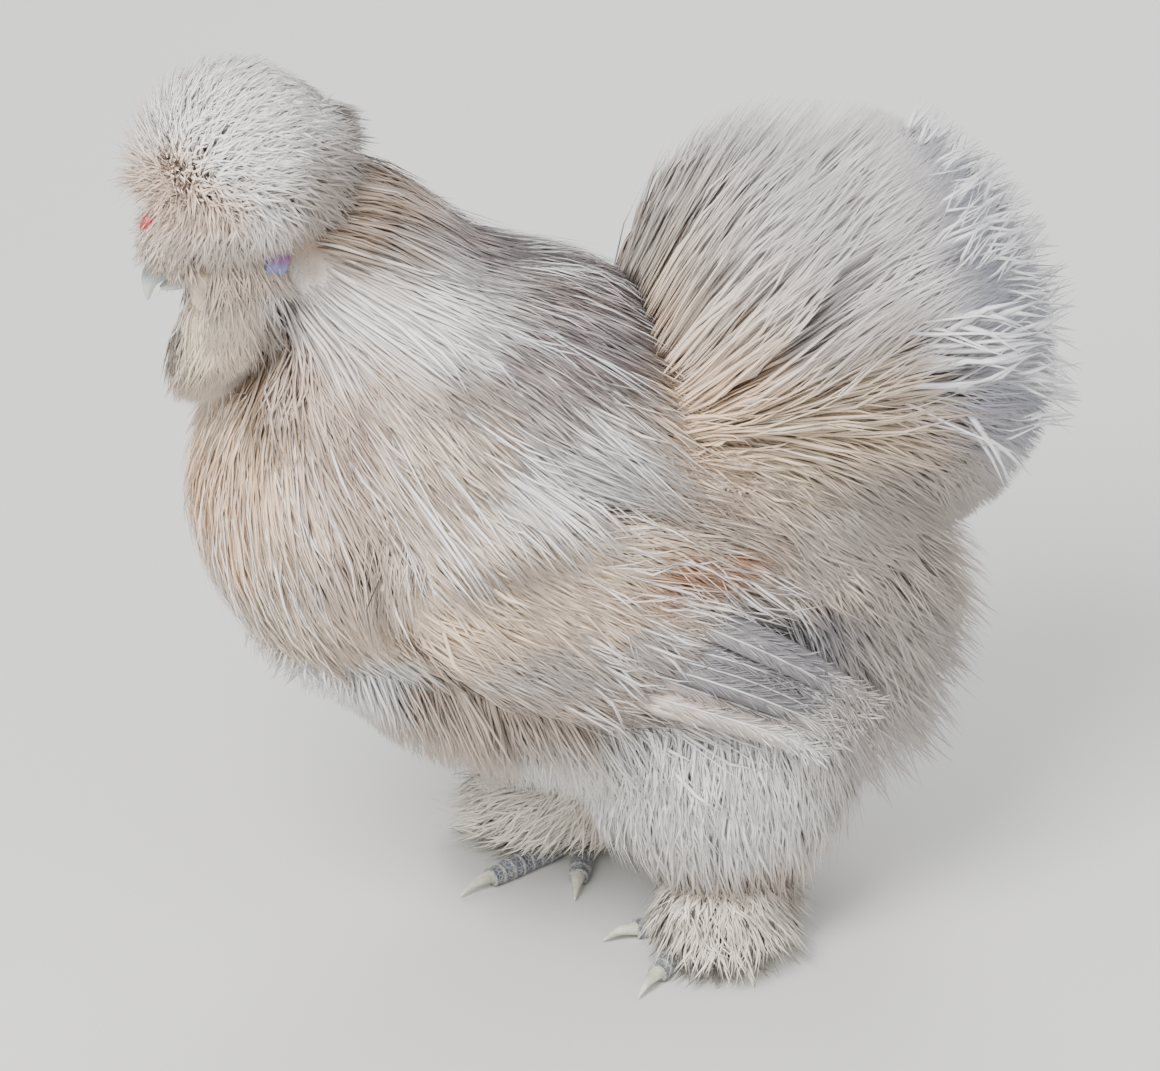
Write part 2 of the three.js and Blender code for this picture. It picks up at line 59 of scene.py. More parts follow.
# The head: crest ball, eyes, earlobes, comb and bill
CREST = {"centre": (-139, 0, 284.5), "radius": 22, "comb_gap": 0.89, "edge": 258}
EYE = {"centre": (-152, 11.6, 266), "radius": 4.2, "clear": 5.4, "iris": (4, 3, 4), "pupil": (2.3, 2.3, 2.3),
       "lid": 1.05}
EARLOBE = {"centre": (-130.5, 14.2, 256), "radii": (4.4, 3, 7.2), "lean": 32, "out": 4.2, "clear": 9.5}
COMB = {"centre": (-166.5, 0, 265.5), "radii": (2.58, 4.74, 5.46), "bulbs": 52, "bulb": 1.155}
BEAK_ROOT = (-152, 0, 251)
BEAK_TIP = (-168.5, 0, 240)
BEAK_WIDTH = 14
BEARD_BACK = -143

# Where the hackle spreads from and how far its roots go, and the middles and lower lines of the other coats
NECK_POLE = (-131, 0, 258)
NECK_CUT = 66
NECK_CENTRE = (-110, 0, 232)
NECK_TOP = 281
SHOULDER_LINE = ((-122, 96), (-108, 126), (-92, 146), (-60, 163), (20, 165))
TORSO_CENTRE = (-28, 0, 145)
BELLY_LINE = ((-150, 134), (-127, 113), (-113, 102), (-92, 80), (-68, 66), (-30, 54), (60, 54))
RUMP = 25
SADDLE = (-34, 0, 226)
TAIL_CENTRE = (60, 0, 198)
TAIL_ROOT = (-30, 0, 150)
TAIL_PITCH = -25

# Wings, with their flight feathers: the first and last of a fan, from root to tip, on the right wing
WING = {"centre": (-32, 64, 141), "radii": (74, 14, 35), "pitch": 16, "yaw": -6}
VANES = {"count": 11, "width": 8, "stations": 9, "barbs": 60, "barb": 9, "angle": 20,
         "roots": ((-10, 74, 146), (-26, 78, 114)), "tips": ((61, 70, 98), (38, 76, 84))}

# Legs and feet. heading is the middle toe's angle, fluff and lie the down's place and angle
HIP_WIDTH = 40
THIGH_HEIGHT = 77
FEET = {-1: {"x": 16, "y": -34, "heading": 48, "fluff": 74, "lie": 84},
        1: {"x": -14, "y": 30, "heading": 28, "fluff": -28, "lie": -28}}
SHANK = {"height": 56, "radius": 5.6, "ankle": 9}
TOE = {"radius": 4, "scute": 3.4, "step": 0.55, "corners": 26, "clear": 0.1}
TOES = (
    {"turn": 172, "length": 17, "middle": 5, "rise": 2.9, "claw": 10},
    {"turn": 42, "length": 30, "middle": 3.9, "rise": 2.9, "claw": 12},
    {"turn": 0, "length": 45, "middle": 3.9, "rise": 2.9, "claw": 14},
    {"turn": -42, "length": 34, "middle": 3.9, "rise": 2.9, "claw": 12},
    {"turn": 140, "length": 17, "middle": 13, "rise": 17, "claw": 12},
)
PLUME_OUT = 26

# A tuft's patch on the bake map, the barbs that its streaks stand for, and how far markings and painted
# shadows stray, in metres
PATCH = 0.003
BARBS_PER_MM = 2.6
WARP = 0.03

# The camera stands where the photograph's did: a point of the model seen at a pixel of the picture
PICTURE = (1160, 1071)
REFERENCE_PIXEL = (592, 498)
REFERENCE_POINT = (-20, 0, 150)
CAMERA = {"azimuth": -14, "elevation": 27, "distance": 2200, "mm_per_pixel": 0.335, "sensor": 36}

# Soft lights in metres and watts: name, place, size, power
LIGHTS = (
    ("key", (-0.75, -0.8, 1.35), 0.8, 44),
    ("fill", (1.1, -0.9, 0.8), 1.0, 6),
    ("back", (0.5, 1.2, 1.1), 0.8, 18),
    ("low", (-0.7, -1.4, 0.3), 1.0, 9),
)
FLOOR_REACH = 4

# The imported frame's origin differs from the model's: the left eye's box tells by how much
low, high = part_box("eye_left")
SHIFT = (np.array(low) + np.array(high)) / 2 / MM - np.array(EYE["centre"]) * (1, -1, 1)


def side_name(side):
    """left or right."""
    return "left" if side < 0 else "right"


def on_side(point, side):
    """A point of the right side, or its mirror image on the left."""
    return np.array(point, float) * (1, side, 1)


def in_place(points):
    """Model millimetres to metres in the frame."""
    return (np.asarray(points, float) + SHIFT) * MM


# Fields and directions, on arrays of points
def unit(vectors):
    """Each vector over its length."""
    return vectors / np.maximum(np.linalg.norm(vectors, axis=-1, keepdims=True), 1e-9)


def dot(a, b):
    """The dot product of each pair, kept as a column."""
    return np.sum(a * b, axis=-1, keepdims=True)


def blob(centre, radii, pitch=0.0, yaw=0.0):
    """An ellipsoid's distance: n (n - 1) / |gradient|, n the length over the radii. pitch turns it about Y
    and yaw about Z."""
    c, s = math.cos(math.radians(pitch)), math.sin(math.radians(pitch))
    cy, sy = math.cos(math.radians(yaw)), math.sin(math.radians(yaw))
    turn = np.array([[c * cy, c * sy, -s], [-sy, cy, 0], [s * cy, s * sy, c]])
    radii = np.array(radii, float)

    def field(p):
        q = (p - np.array(centre, float)) @ turn.T
        near = np.linalg.norm(q / radii, axis=-1)
        slope = np.linalg.norm(q / radii**2, axis=-1)
        return near * (near - 1) / np.maximum(slope, 1e-9)

    return field


def flow(parts, softness=7.0):
    """Bodies run into one another: the soft minimum of their distances, -s log(sum(exp(-d / s)))."""

    def field(p):
        distances = np.stack([part(p) for part in parts])
        least = distances.min(axis=0)
        return least - softness * np.log(np.exp((least - distances) / softness).sum(axis=0))

    return field


def outward(field, p):
    """The way out of a field: its slope along each axis, by differences half a millimetre each way."""
    steps = 0.5 * np.eye(3)
    return unit(np.stack([field(p + step) - field(p - step) for step in steps], axis=-1))


def way_at(angle):
    """A level direction, from -X towards -Y."""
    return np.array([-math.cos(math.radians(angle)), -math.sin(math.radians(angle)), 0])


def fluff_centre(side, share, height):
    """The middle of a foot's fluff, a share of the way out along the toes that it covers."""
    foot = FEET[side]
    out = way_at(foot["fluff"]) * PLUME_OUT * share
    return np.array([foot["x"], foot["y"], height]) + out


SKULL = flow([blob((-146, 0, 261), (18.5, 15, 16)), blob((-137, 0, 257), (14, 14.5, 13))], 3)
CROWN = blob(CREST["centre"], [CREST["radius"]] * 3)
THROAT = blob((-144, 0, 238), (10, 14, 12))
TRUNK_PARTS = [
    blob((-100, 0, 243), (22, 17, 44), -36),
    blob((-80, 0, 166), (63, 58, 61)),
    blob((-15, 0, 138), (78, 60, 56)),
    blob((38, 0, 125), (42, 48, 52)),
    blob((-48, 0, 190), (44, 36, 38)),
]
TRUNK_FLOW = flow(TRUNK_PARTS)
CUSHION = blob(TAIL_CENTRE, (36, 32, 44), TAIL_PITCH)

# Outlines that the beard's, the tail's and the rump's tips keep to
BEARD_ENVELOPE = blob((-149, 0, 233), (22, 26, 31), 32)
TAIL_ENVELOPE = blob((66, 0, 208), (66, 64, 86), -38)
RUMP_ENVELOPE = blob((40, 0, 125), (62, 64, 58))


def trunk(p):
    """The neck and body under their coat: blobs run together and swollen."""
    return TRUNK_FLOW(p) - TRUNK_SWELL


def wing_field(side):
    """A folded wing under its coat."""
    field = blob(on_side(WING["centre"], side), WING["radii"], WING["pitch"], side * WING["yaw"])
    return lambda p: field(p) + WING_DEPTH


def thigh_field(side):
    """A thigh under its coat, halfway from the hip to over the foot."""
    return blob(((FEET[side]["x"] + 14) / 2, side * HIP_WIDTH, THIGH_HEIGHT), (41, 25, 37))


def plume_field(side):
    """The skin under the fluff: a sleeve round a shank, run into a pad over the outer toes."""
    foot = FEET[side]
    sleeve = blob((foot["x"] + 4, foot["y"], 27), (12, 11, 18))
    return flow([sleeve, blob(fluff_centre(side, 0.6, 17), (15, 15, 6))], 5)


REGIONS = {"skull": SKULL, "crown": CROWN, "throat": THROAT, "trunk": trunk, "cushion": CUSHION}
for each in SIDES:
    REGIONS[f"wing_{side_name(each)}"] = wing_field(each)
    REGIONS[f"thigh_{side_name(each)}"] = thigh_field(each)
    REGIONS[f"plume_{side_name(each)}"] = plume_field(each)
BODY = flow(list(REGIONS.values()), 2.5)


# Meshes
def make_piece(name, vertices, faces, slot, nodes=(), attributes=None, patches=None):
    """A closed mesh from arrays, set on the frame. faces is a list of index arrays, each with its own
    number of corners."""
    mesh = bpy.data.meshes.new(name)
    mesh.vertices.add(len(vertices))
    mesh.vertices.foreach_set("co", in_place(vertices).astype(np.float32).ravel())
    corners = np.concatenate([f.ravel() for f in faces]).astype(np.int32)
    counts = np.concatenate([np.full(len(f), f.shape[1]) for f in faces])
    starts = np.concatenate([[0], np.cumsum(counts)[:-1]]).astype(np.int32)
    mesh.loops.add(len(corners))
    mesh.loops.foreach_set("vertex_index", corners)
    mesh.polygons.add(len(counts))
    mesh.polygons.foreach_set("loop_start", starts)
    mesh.polygons.foreach_set("use_smooth", np.ones(len(counts), bool))
    mesh.update(calc_edges=True)
    for label, values in (attributes or {}).items():
        wide = values.ndim == 2
        layer = mesh.attributes.new(label, "FLOAT_VECTOR" if wide else "FLOAT", "POINT")
        layer.data.foreach_set("vector" if wide else "value", values.astype(np.float32).ravel())
    if patches is not None:
        layer = mesh.uv_layers.new(name="OFBake")
        layer.data.foreach_set("uv", patches[corners].astype(np.float32).ravel())
    piece = bpy.data.objects.new(name, mesh)
    bpy.context.scene.collection.objects.link(piece)
    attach(piece, "root")
    if nodes:
        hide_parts(*nodes)
    return piece


def grid_faces(rows, columns, first=0):
    """Quads of a grid whose columns close on themselves, rows running along and columns round."""
    row = np.arange(rows - 1)[:, None] * columns
    column = np.arange(columns)[None, :]
    following = (column + 1) % columns
    ahead = row + columns
    quads = np.stack([row + column, row + following, ahead + following, ahead + column], axis=-1)
    return quads.reshape(-1, 4) + first


def tube(name, rings, slot, nodes=()):
    """Rings of points, rows by columns by 3, joined and closed at both ends by the rings' middles."""
    rows, columns, _ = rings.shape
    ends = np.stack([rings[0].mean(axis=0), rings[-1].mean(axis=0)])
    vertices = np.concatenate([rings.reshape(-1, 3), ends])
    k = np.arange(columns)
    after = (k + 1) % columns
    start, stop = rows * columns, rows * columns + 1
    last = (rows - 1) * columns
    caps = np.concatenate([
        np.stack([after, k, np.full(columns, start)], axis=-1),
        np.stack([last + k, last + after, np.full(columns, stop)], axis=-1),
    ])
    return make_piece(name, vertices, [grid_faces(rows, columns), caps], slot, nodes)


def surface_of(field, low_corner, high_corner, step):
    """A closed surface where a field is zero. Each grid cell that the surface crosses gets one point, the
    mean of the crossings on its edges, and each edge that is crossed gets one quad through its four
    cells."""
    axes = [np.arange(a, b + step, step) for a, b in zip(low_corner, high_corner)]
    grid = np.stack(np.meshgrid(*axes, indexing="ij"), axis=-1)
    shape = grid.shape[:3]
    value = field(grid.reshape(-1, 3)).reshape(shape)
    total = np.zeros(shape + (3,))
    count = np.zeros(shape)
    edges = []
    for axis in range(3):
        ahead = np.roll(value, -1, axis)
        crossed = (value < 0) != (ahead < 0)
        crossed[tuple(slice(-1, None) if a == axis else slice(None) for a in range(3))] = False
        at = np.argwhere(crossed)
        start, stop = value[crossed], ahead[crossed]
        point = grid[crossed]
        point[:, axis] += step * start / (start - stop)
        others = [a for a in range(3) if a != axis]
        cells = []
        for shift in ((0, 0), (1, 0), (1, 1), (0, 1)):
            cell = at.copy()
            cell[:, others[0]] -= shift[0]
            cell[:, others[1]] -= shift[1]
            index = np.ravel_multi_index(cell.T, shape)
            np.add.at(total.reshape(-1, 3), index, point)
            np.add.at(count.reshape(-1), index, 1)
            cells.append(index)
        quads = np.stack(cells, axis=-1)
        outwards = (start < 0) != (axis == 1)
        edges.append(np.where(outwards[:, None], quads[:, ::-1], quads))
    used = np.flatnonzero(count)
    number = np.full(count.size, -1)
    number[used] = np.arange(len(used))
    vertices = total.reshape(-1, 3)[used] / count.reshape(-1)[used][:, None]
    return vertices, number[np.concatenate(edges)]


# Strands: how they lie, grow and become a mesh
def flat_on(way, out):
    """A direction laid down on the surface."""
    return unit(way - out * dot(way, out) * 0.98)


def grow(field, way, roots, length, lift, style, sway):
    """Strands as points, strand by ring by 3. Each ring steps on along the way that the coat lies. Its
    height over the skin is -sink at the root and lift at the tip, share to the power of rise between them:
    a hugging coat keeps it, and any other only stays above it."""
    rings = style["rings"]
    step = (length + style["sink"]) / rings
    at = roots.copy()
    points, outs = [], []
    height = np.full(len(roots), -style["sink"], float)
    for ring in range(rings + 1):
        out = outward(field, at)
        short = height - field(at)
        at = at + out * (short if style["hug"] or ring == 0 else np.maximum(0, short))[:, None]
        at[:, 2] = np.maximum(at[:, 2], LOWEST)
        points.append(at)
        outs.append(out)
        share = min(1, (ring + 1) / rings)
        after = (lift + style["sink"]) * share ** style["rise"] - style["sink"]
        lie = way(at, out)
        across = unit(np.cross(out, lie)) * (sway * (0.4 + share))[:, None]
        if style["hug"]:
            run = np.sqrt(np.maximum(step**2 - (after - height) ** 2, (0.3 * step) ** 2))
            at = at + unit(lie - out * dot(lie, out) + across) * run[:, None]
        else:
            at = at + unit(unit(lie) + across) * step[:, None]
        height = after
    return np.stack(points, axis=1), np.stack(outs, axis=1)


def strand_mesh(name, points, outs, width, flat, roots, unwrap, tints, slot, nodes=()):
    """Thin tapered blades, each from one point at its root through rings of three corners, ridged above, to
    its tip. tints gives each strand's own numbers."""
    count, rings, _ = points.shape
    along = unit(np.gradient(points, axis=1))
    across = unit(np.cross(along, outs))
    up = np.cross(across, along)
    share = np.linspace(0, 1, rings)
    taper = np.sin(math.pi * np.clip(0.2 + 0.72 * share, 0, 1))[None, :, None] ** 0.8
    half = width[:, None, None] / 2 * taper
    corners = np.stack([points - across * half, points + up * half * flat, points + across * half], axis=2)
    middle = corners[:, 1:-1].reshape(count, -1, 3)
    vertices = np.concatenate([points[:, :1], middle, points[:, -1:]], axis=1)
    size = vertices.shape[1]
    quads = grid_faces(rings - 2, 3, 1)
    k = np.array([0, 1, 2])
    after = (k + 1) % 3
    last = size - 4
    ends = np.concatenate([
        np.stack([0 * k, 1 + after, 1 + k], axis=-1),
        np.stack([last + k, last + after, 0 * k + size - 1], axis=-1),
    ])
    offset = (np.arange(count) * size)[:, None, None]
    faces = [(quads[None] + offset).reshape(-1, 4), (ends[None] + offset).reshape(-1, 3)]
    ring_share = np.concatenate([[0], np.repeat(share[1:-1], 3), [1]])
    side = np.concatenate([[0], np.tile([-1, 0, 1], rings - 2), [0]])
    patch = np.stack([side, 2 * ring_share - 1], axis=-1) * PATCH / 2
    uv = (unwrap(roots)[:, None] + patch[None]).reshape(-1, 2)
    facing = np.concatenate([outs[:, :1], np.repeat(outs[:, 1:-1], 3, axis=1), outs[:, -1:]], axis=1)
    attributes = {
        "root": np.repeat(in_place(roots), size, axis=0),
        "facing": facing.reshape(-1, 3),
        "along": np.tile(ring_share, count),
        "across": (width[:, None] / 2 * side).ravel(),
    }
    for label, values in tints.items():
        attributes[label] = np.repeat(values, size)
    return make_piece(name, vertices.reshape(-1, 3), faces, slot, nodes, attributes, uv)


def unwrap_about(centre):
    """An equal-area unwrap of the skin round a centre: the angle round Z, and the height of the
    direction."""

    def unwrap(p):
        q = unit(p - np.array(centre, float))
        around = np.arctan2(q[:, 1], q[:, 0]) / (2 * math.pi) + 0.5
        return np.stack([around, q[:, 2] / 2 + 0.5], axis=-1) * 0.98 + 0.01

    return unwrap


# The skin, and which region of the bird each of its quads belongs to
skin_vertices, skin_quads = surface_of(BODY, (-190, -95, -6), (120, 95, 320), SKIN_STEP)
skin_corners = skin_vertices[skin_quads]
skin_middles = skin_corners.mean(axis=1)
skin_diagonals = skin_corners[:, 2] - skin_corners[:, 0], skin_corners[:, 3] - skin_corners[:, 1]
skin_areas = np.linalg.norm(np.cross(*skin_diagonals), axis=-1)
skin_region = np.stack([field(skin_middles) for field in REGIONS.values()]).argmin(axis=0)
REGION_NAMES = list(REGIONS)


def scatter(count, region, takes, random):
    """Roots spread by area over the skin's quads of a region, at a random place in each quad."""
    share = skin_areas * (skin_region == REGION_NAMES.index(region)) * takes(skin_middles)
    quads = random.choice(len(share), count, p=share / share.sum())
    u, v = random.random((2, count, 1))
    a, b, c, d = (skin_corners[quads, k] for k in range(4))
    return (a * (1 - u) + b * u) * (1 - v) + (d * (1 - u) + c * u) * v


def nearest(points, guides):
    """The number of the guide nearest to each point."""
    return ((points[:, None] - guides[None]) ** 2).sum(axis=-1).argmin(axis=1)


def everywhere(p):
    """True at every point."""
    return np.ones(len(p), bool)


def coat(name, region, kind, way, seed, takes=everywhere, field=None, reach=None, grade=None, nodes=(),
         middle=None):
    """One piece of plumage. Strands grow on the region's skin, draw towards the nearest of a few guide
    strands to make locks, and wave a little from side to side. reach tells how far tips stand out, grade
    how their length varies."""
    random = np.random.default_rng(seed)
    style = STYLES[kind]
    field = field or REGIONS[region]
    count = style["count"]
    guides = max(8, count // style["clump"])
    roots = scatter(count + guides, region, takes, random)
    vary = random.random((5, count + guides))
    length = style["length"] * (1 + style["ragged"] * (2 * vary[0] - 1))
    if grade:
        length = length * grade(roots)
    lift = style["lift"] * (1 + style["ragged"] * (2 * vary[4] - 1) * 1.3)
    sway = (vary[1] - 0.5) * 2 * style["sway"]
    if reach:
        for _ in range(3):
            tips = grow(field, way, roots, length, lift, style, sway)[0][:, -1]
            length = np.maximum(length * 0.25, length - reach(tips) * (0.85 + 0.3 * vary[2]))
    points, outs = grow(field, way, roots, length, lift, style, sway)
    guide_points, guide_roots = points[count:], roots[count:]
    points, outs, roots, vary = points[:count], outs[:count], roots[:count], vary[:, :count]
    mine = nearest(roots, guide_roots)
    share = np.linspace(0, 1, style["rings"] + 1)
    pull = (style["pull"] * share**1.4)[None, :, None]
    spread = (roots - guide_roots[mine])[:, None] * (1 - 0.6 * share)[None, :, None]
    points = points * (1 - pull) + (guide_points[mine] + spread) * pull
    along = unit(np.gradient(points, axis=1))
    across = unit(np.cross(along, outs))
    phase = 2 * math.pi * vary[3][:, None]
    wave = np.sin(phase + style["wave"] * math.pi * share[None]) * share[None] * style["curl"]
    points = points + across * wave[..., None]
    points[..., 2] = np.maximum(points[..., 2], LOWEST / 2)
    tints = {
        "chance": random.random(count),
        "lock": random.random(guides)[mine],
        "streaks_and_root_shade": np.full(count, style["streaks_and_root_shade"], float),
        "bright": np.full(count, style["bright"], float),
    }
    width = style["width"] * (0.5 + 1.5 * random.random(count) ** 2)
    unwrap = unwrap_about(style["middle"] if middle is None else middle)
    return strand_mesh(name, points, outs, width, style["flat"], roots, unwrap, tints, style["slot"], nodes)


# Each coat. In millimetres: its strands' length and width, lift, the height of their tips over the skin,
# sink, the depth of their roots, and curl, the wave from side to side. count is how many strands, rings how
# many steps each takes, clump how many make a lock and pull how far they draw together. rise bends the climb
# from root to tip, ragged varies lengths and lifts, sway turns strands aside, wave is the curl's half turns,
# flat the blade's thickness over half its width. The streaks' share sets both the dark streaks and the
# painted shade at the strands' roots, and bright the share of white, in the finish. hug is true where strands
# keep to the skin, and middle centres the bake map.
COMMON = {"rise": 0.8, "clump": 10, "ragged": 0.25, "sway": 0.3, "pull": 0.45, "curl": 1.2, "wave": 1.4,
          "sink": 2.5, "flat": 0.3, "streaks_and_root_shade": 1.0, "bright": 0.0, "hug": False, "slot": "plumage"}
STYLES = {
    "crest": {"length": 16, "width": 0.92, "lift": 5, "count": 13000, "rings": 3, "clump": 9, "ragged": 0.3,
              "sway": 0.5, "pull": 0.15, "curl": 1.2, "streaks_and_root_shade": 0.15, "bright": 0.15,
              "middle": CREST["centre"]},
    "face": {"length": 23, "width": 0.72, "lift": 7, "count": 4200, "rings": 3, "clump": 7, "sway": 0.45,
             "curl": 1.2, "sink": 1.5, "ragged": 0.5, "streaks_and_root_shade": 0.3, "bright": 0.1,
             "middle": (-142, 0, 260)},
    "beard": {"length": 26, "width": 0.85, "lift": 6, "count": 6000, "rings": 3, "clump": 12, "sway": 0.5,
              "curl": 2.2, "ragged": 0.6, "pull": 0.6, "streaks_and_root_shade": 0.9, "bright": 0.05,
              "middle": (-146, 0, 236)},
    "throat": {"length": 60, "width": 0.9, "lift": 9, "rise": 0.6, "count": 3000, "rings": 4, "clump": 12,
               "ragged": 0.4, "sway": 0.16, "pull": 0.6, "curl": 2, "middle": NECK_CENTRE, "hug": True},
    "hackle": {"length": 86, "width": 0.95, "lift": 10, "rise": 0.6, "count": 7300, "rings": 4, "clump": 16,
               "ragged": 0.3, "sway": 0.14, "pull": 0.6, "curl": 2, "middle": NECK_CENTRE, "hug": True},
    "streamers": {"length": 96, "width": 0.75, "lift": 12, "rise": 0.6, "count": 460, "rings": 4, "clump": 3,
                  "ragged": 0.3, "sway": 0.14, "pull": 0.75, "bright": 0.55, "streaks_and_root_shade": 0.4,
                  "middle": NECK_CENTRE, "hug": True},
    "body": {"length": 56, "width": 1.1, "lift": 9, "count": 5000, "rings": 3, "clump": 13, "sway": 0.2,
             "ragged": 0.3, "pull": 0.55, "curl": 1.8, "middle": TORSO_CENTRE, "hug": True},
    "belly": {"length": 46, "width": 0.95, "lift": 12, "count": 3000, "rings": 3, "clump": 9, "sway": 0.3,
              "ragged": 0.45, "pull": 0.5, "curl": 2.4, "streaks_and_root_shade": 0.5, "middle": TORSO_CENTRE},
    "rump": {"length": 40, "width": 0.9, "lift": 12, "count": 2100, "rings": 3, "clump": 9, "sway": 0.35,
             "ragged": 0.4, "pull": 0.5, "curl": 2.4, "streaks_and_root_shade": 0.5, "middle": TORSO_CENTRE},
    "saddle": {"length": 70, "width": 1.0, "lift": 9, "count": 1900, "rings": 4, "clump": 14, "sway": 0.14,
               "ragged": 0.25, "pull": 0.6, "curl": 3, "middle": TORSO_CENTRE},
    "tail_foot": {"length": 70, "width": 1.15, "lift": 8, "count": 2400, "rings": 4, "clump": 12,
                  "sway": 0.16, "ragged": 0.3, "pull": 0.6, "curl": 3, "streaks_and_root_shade": 0.3,
                  "middle": TORSO_CENTRE},
    "tail": {"length": 56, "width": 1.25, "lift": 9, "rise": 0.7, "count": 5200, "rings": 4, "clump": 14,
             "ragged": 0.22, "sway": 0.16, "pull": 0.6, "curl": 3.6, "sink": 4, "streaks_and_root_shade": 0.35,
             "middle": TAIL_CENTRE},
    "ribbons": {"length": 74, "width": 2.0, "lift": 16, "count": 560, "rings": 5, "clump": 6, "ragged": 0.2,
                "sway": 0.2, "pull": 0.85, "curl": 7, "sink": 4, "flat": 0.15, "streaks_and_root_shade": 0.2, "bright": 0.9,
                "middle": TAIL_CENTRE, "slot": "flight_feather"},
    "wing": {"length": 34, "width": 0.95, "lift": 8, "count": 4500, "rings": 3, "clump": 9, "sway": 0.3,
             "streaks_and_root_shade": 0.7, "slot": "flight_feather", "hug": True},
    "wisps": {"length": 48, "width": 0.8, "lift": 11, "count": 420, "rings": 4, "clump": 4, "sway": 0.3,
              "pull": 0.75, "curl": 4, "streaks_and_root_shade": 0.4, "bright": 0.5, "slot": "flight_feather",
              "hug": True},
    "thigh": {"length": 28, "width": 0.85, "lift": 7, "count": 4200, "rings": 3, "clump": 8, "sway": 0.4,
              "pull": 0.4, "ragged": 0.45, "streaks_and_root_shade": 0.4, "bright": 0.05},
    "plume": {"length": 22, "width": 0.8, "lift": 5, "count": 2900, "rings": 3, "clump": 6, "ragged": 0.45,
              "sway": 0.5, "streaks_and_root_shade": 0.4, "bright": 0.05, "sink": 2},
}
STYLES = {name: {**COMMON, **style} for name, style in STYLES.items()}


def from_pole(p, out):
    """The hackle's lie: away from the ear, then back and down."""
    return flat_on(unit(p - NECK_POLE) + [0.35, 0, -0.45], out)


def backwards(p, out):
    """The body's lie: back and down, steeper behind, and turned up where it meets the tail."""
    behind = p[:, :1] > RUMP
    steep = np.where(behind, -1.1, -0.6)
    way = np.concatenate([np.full_like(steep, 0.8), np.zeros_like(steep), steep], axis=1)
    rising = np.clip((CUSHION(p)[:, None] - 4) / 18, 0, 1)
    rising = np.where(p[:, 2:] > TAIL_CENTRE[2] - 22, rising, 1)
    return way * rising + tail_way(p, out) * (1 - rising)


def belly_way(p, out):
    """The lower breast and belly's lie: hanging down and back, a little outwards."""
    return np.array([[0.45, 0, -1]]) + 0.45 * out


def rump_way(p, out):
    """The fluff under the tail: down and back, standing out."""
    return np.array([[0.35, 0, -1]]) + 0.7 * out


def saddle_way(p, out):
    """The saddle's lie: a fan over the tail's foot, back, out and down."""
    return unit(p - SADDLE) + [0.5, 0, -0.3]


def crest_way(p, out):
    """The crest's lie: standing out of the ball all round, combed back from the forehead over it."""
    bent = np.clip(CROWN(p)[:, None] / 12, 0, 1)
    over = flat_on(np.array([[0.82, 0, 0.57]]) + 0 * p, out)
    high = np.clip((p[:, 2:] - CREST["centre"][2] + 12) / 20, 0, 1)
    rear = np.clip((p[:, :1] + 132) / 16, 0, 1)
    fall = np.array([[0.12, 0, -0.35]]) + np.array([[0.4, 0, -0.9]]) * rear
    return out * (1.1 - 0.3 * bent) + over * (0.35 + 0.4 * bent) * high + fall * bent


def beard_way(p, out):
    """The beard's lie: down, a little back and outwards."""
    side = np.sign(p[:, 1:2]) * 0.2
    return np.concatenate([side * 0 + 0.1, side, side * 0 - 1], axis=1) + 0.5 * out


def tail_way(p, out):
    """The tail's lie: out of its root like a fan, arching back at the top and hanging at the bottom."""
    arch = np.maximum(0, (p[:, 2:] - TAIL_CENTRE[2]) / 260)
    hang = np.clip((TAIL_CENTRE[2] + 14 - p[:, 2:]) / 38, 0, 1.3)
    fan = unit((p - TAIL_ROOT) * (1, 0.5, 1))
    return fan + np.concatenate([arch, arch * 0, -hang], axis=1) + 0.12 * out


def ribbon_way(p, out):
    """The ribbons' lie: over the tail's other plumage."""
    return tail_way(p, out) + 0.32 * out


def wing_way(p, out):
    """A wing's lie: back and down towards its tip."""
    return flat_on(np.array([[0.86, 0, -0.5]]) + 0 * p, out)


def leg_way(p, out):
    """A thigh's lie: down, standing out a little, and drawing in towards the shank below."""
    shank = np.where(p[:, 1:2] < 0, FEET[-1]["x"], FEET[1]["x"]) + 8 - p[:, :1]
    gather = np.clip((66 - p[:, 2:]) / 40, 0, 1) * shank / 50
    return np.concatenate([gather + 0.06, 0 * gather, 0 * gather - 1], axis=1) + 0.35 * out


def plume_way(side):
    """A foot's lie: down the shank, then out over the toes."""
    fan = way_at(FEET[side]["lie"])

    def way(p, out):
        low_share = np.clip((30 - p[:, 2:]) / 22, 0, 1)
        return fan * (0.25 + 0.7 * low_share) + [0, 0, -1] * (1 - 0.7 * low_share) + 0.8 * out

    return way


def pole_distance(p):
    """How far from the hackle's pole."""
    return np.linalg.norm(p - NECK_POLE, axis=-1)


# Materials
def tint(code):
    """A colour as a linear triple, from its six hex digits as seen on a screen."""
    seen = np.array([int(code[k:k + 2], 16) / 255 for k in (0, 2, 4)])
    linear = np.where(seen <= 0.04045, seen / 12.92, ((seen + 0.055) / 1.055) ** 2.4)
    return (*linear, 1.0)


class Wire:
    """One output socket. Sums on wires add Math nodes to their material."""

    def __init__(self, paint, socket):
        self.paint = paint
        self.socket = socket

    def maths(self, operation, *values):
        """A Math node on these values."""
        return self.paint.node("Math", {"operation": operation}, dict(enumerate(values)))

    def __add__(self, other):
        return self.maths("ADD", self, other)

    __radd__ = __add__

    def __mul__(self, other):
        return self.maths("MULTIPLY", self, other)

    __rmul__ = __mul__

    def __sub__(self, other):
        return self.maths("SUBTRACT", self, other)

    def __rsub__(self, other):
        return self.maths("SUBTRACT", other, self)

    def __truediv__(self, other):
        return self.maths("DIVIDE", self, other)

    def clamp(self):
        """This value kept between 0 and 1."""
        return self.paint.node("Clamp", {}, {"Value": self})


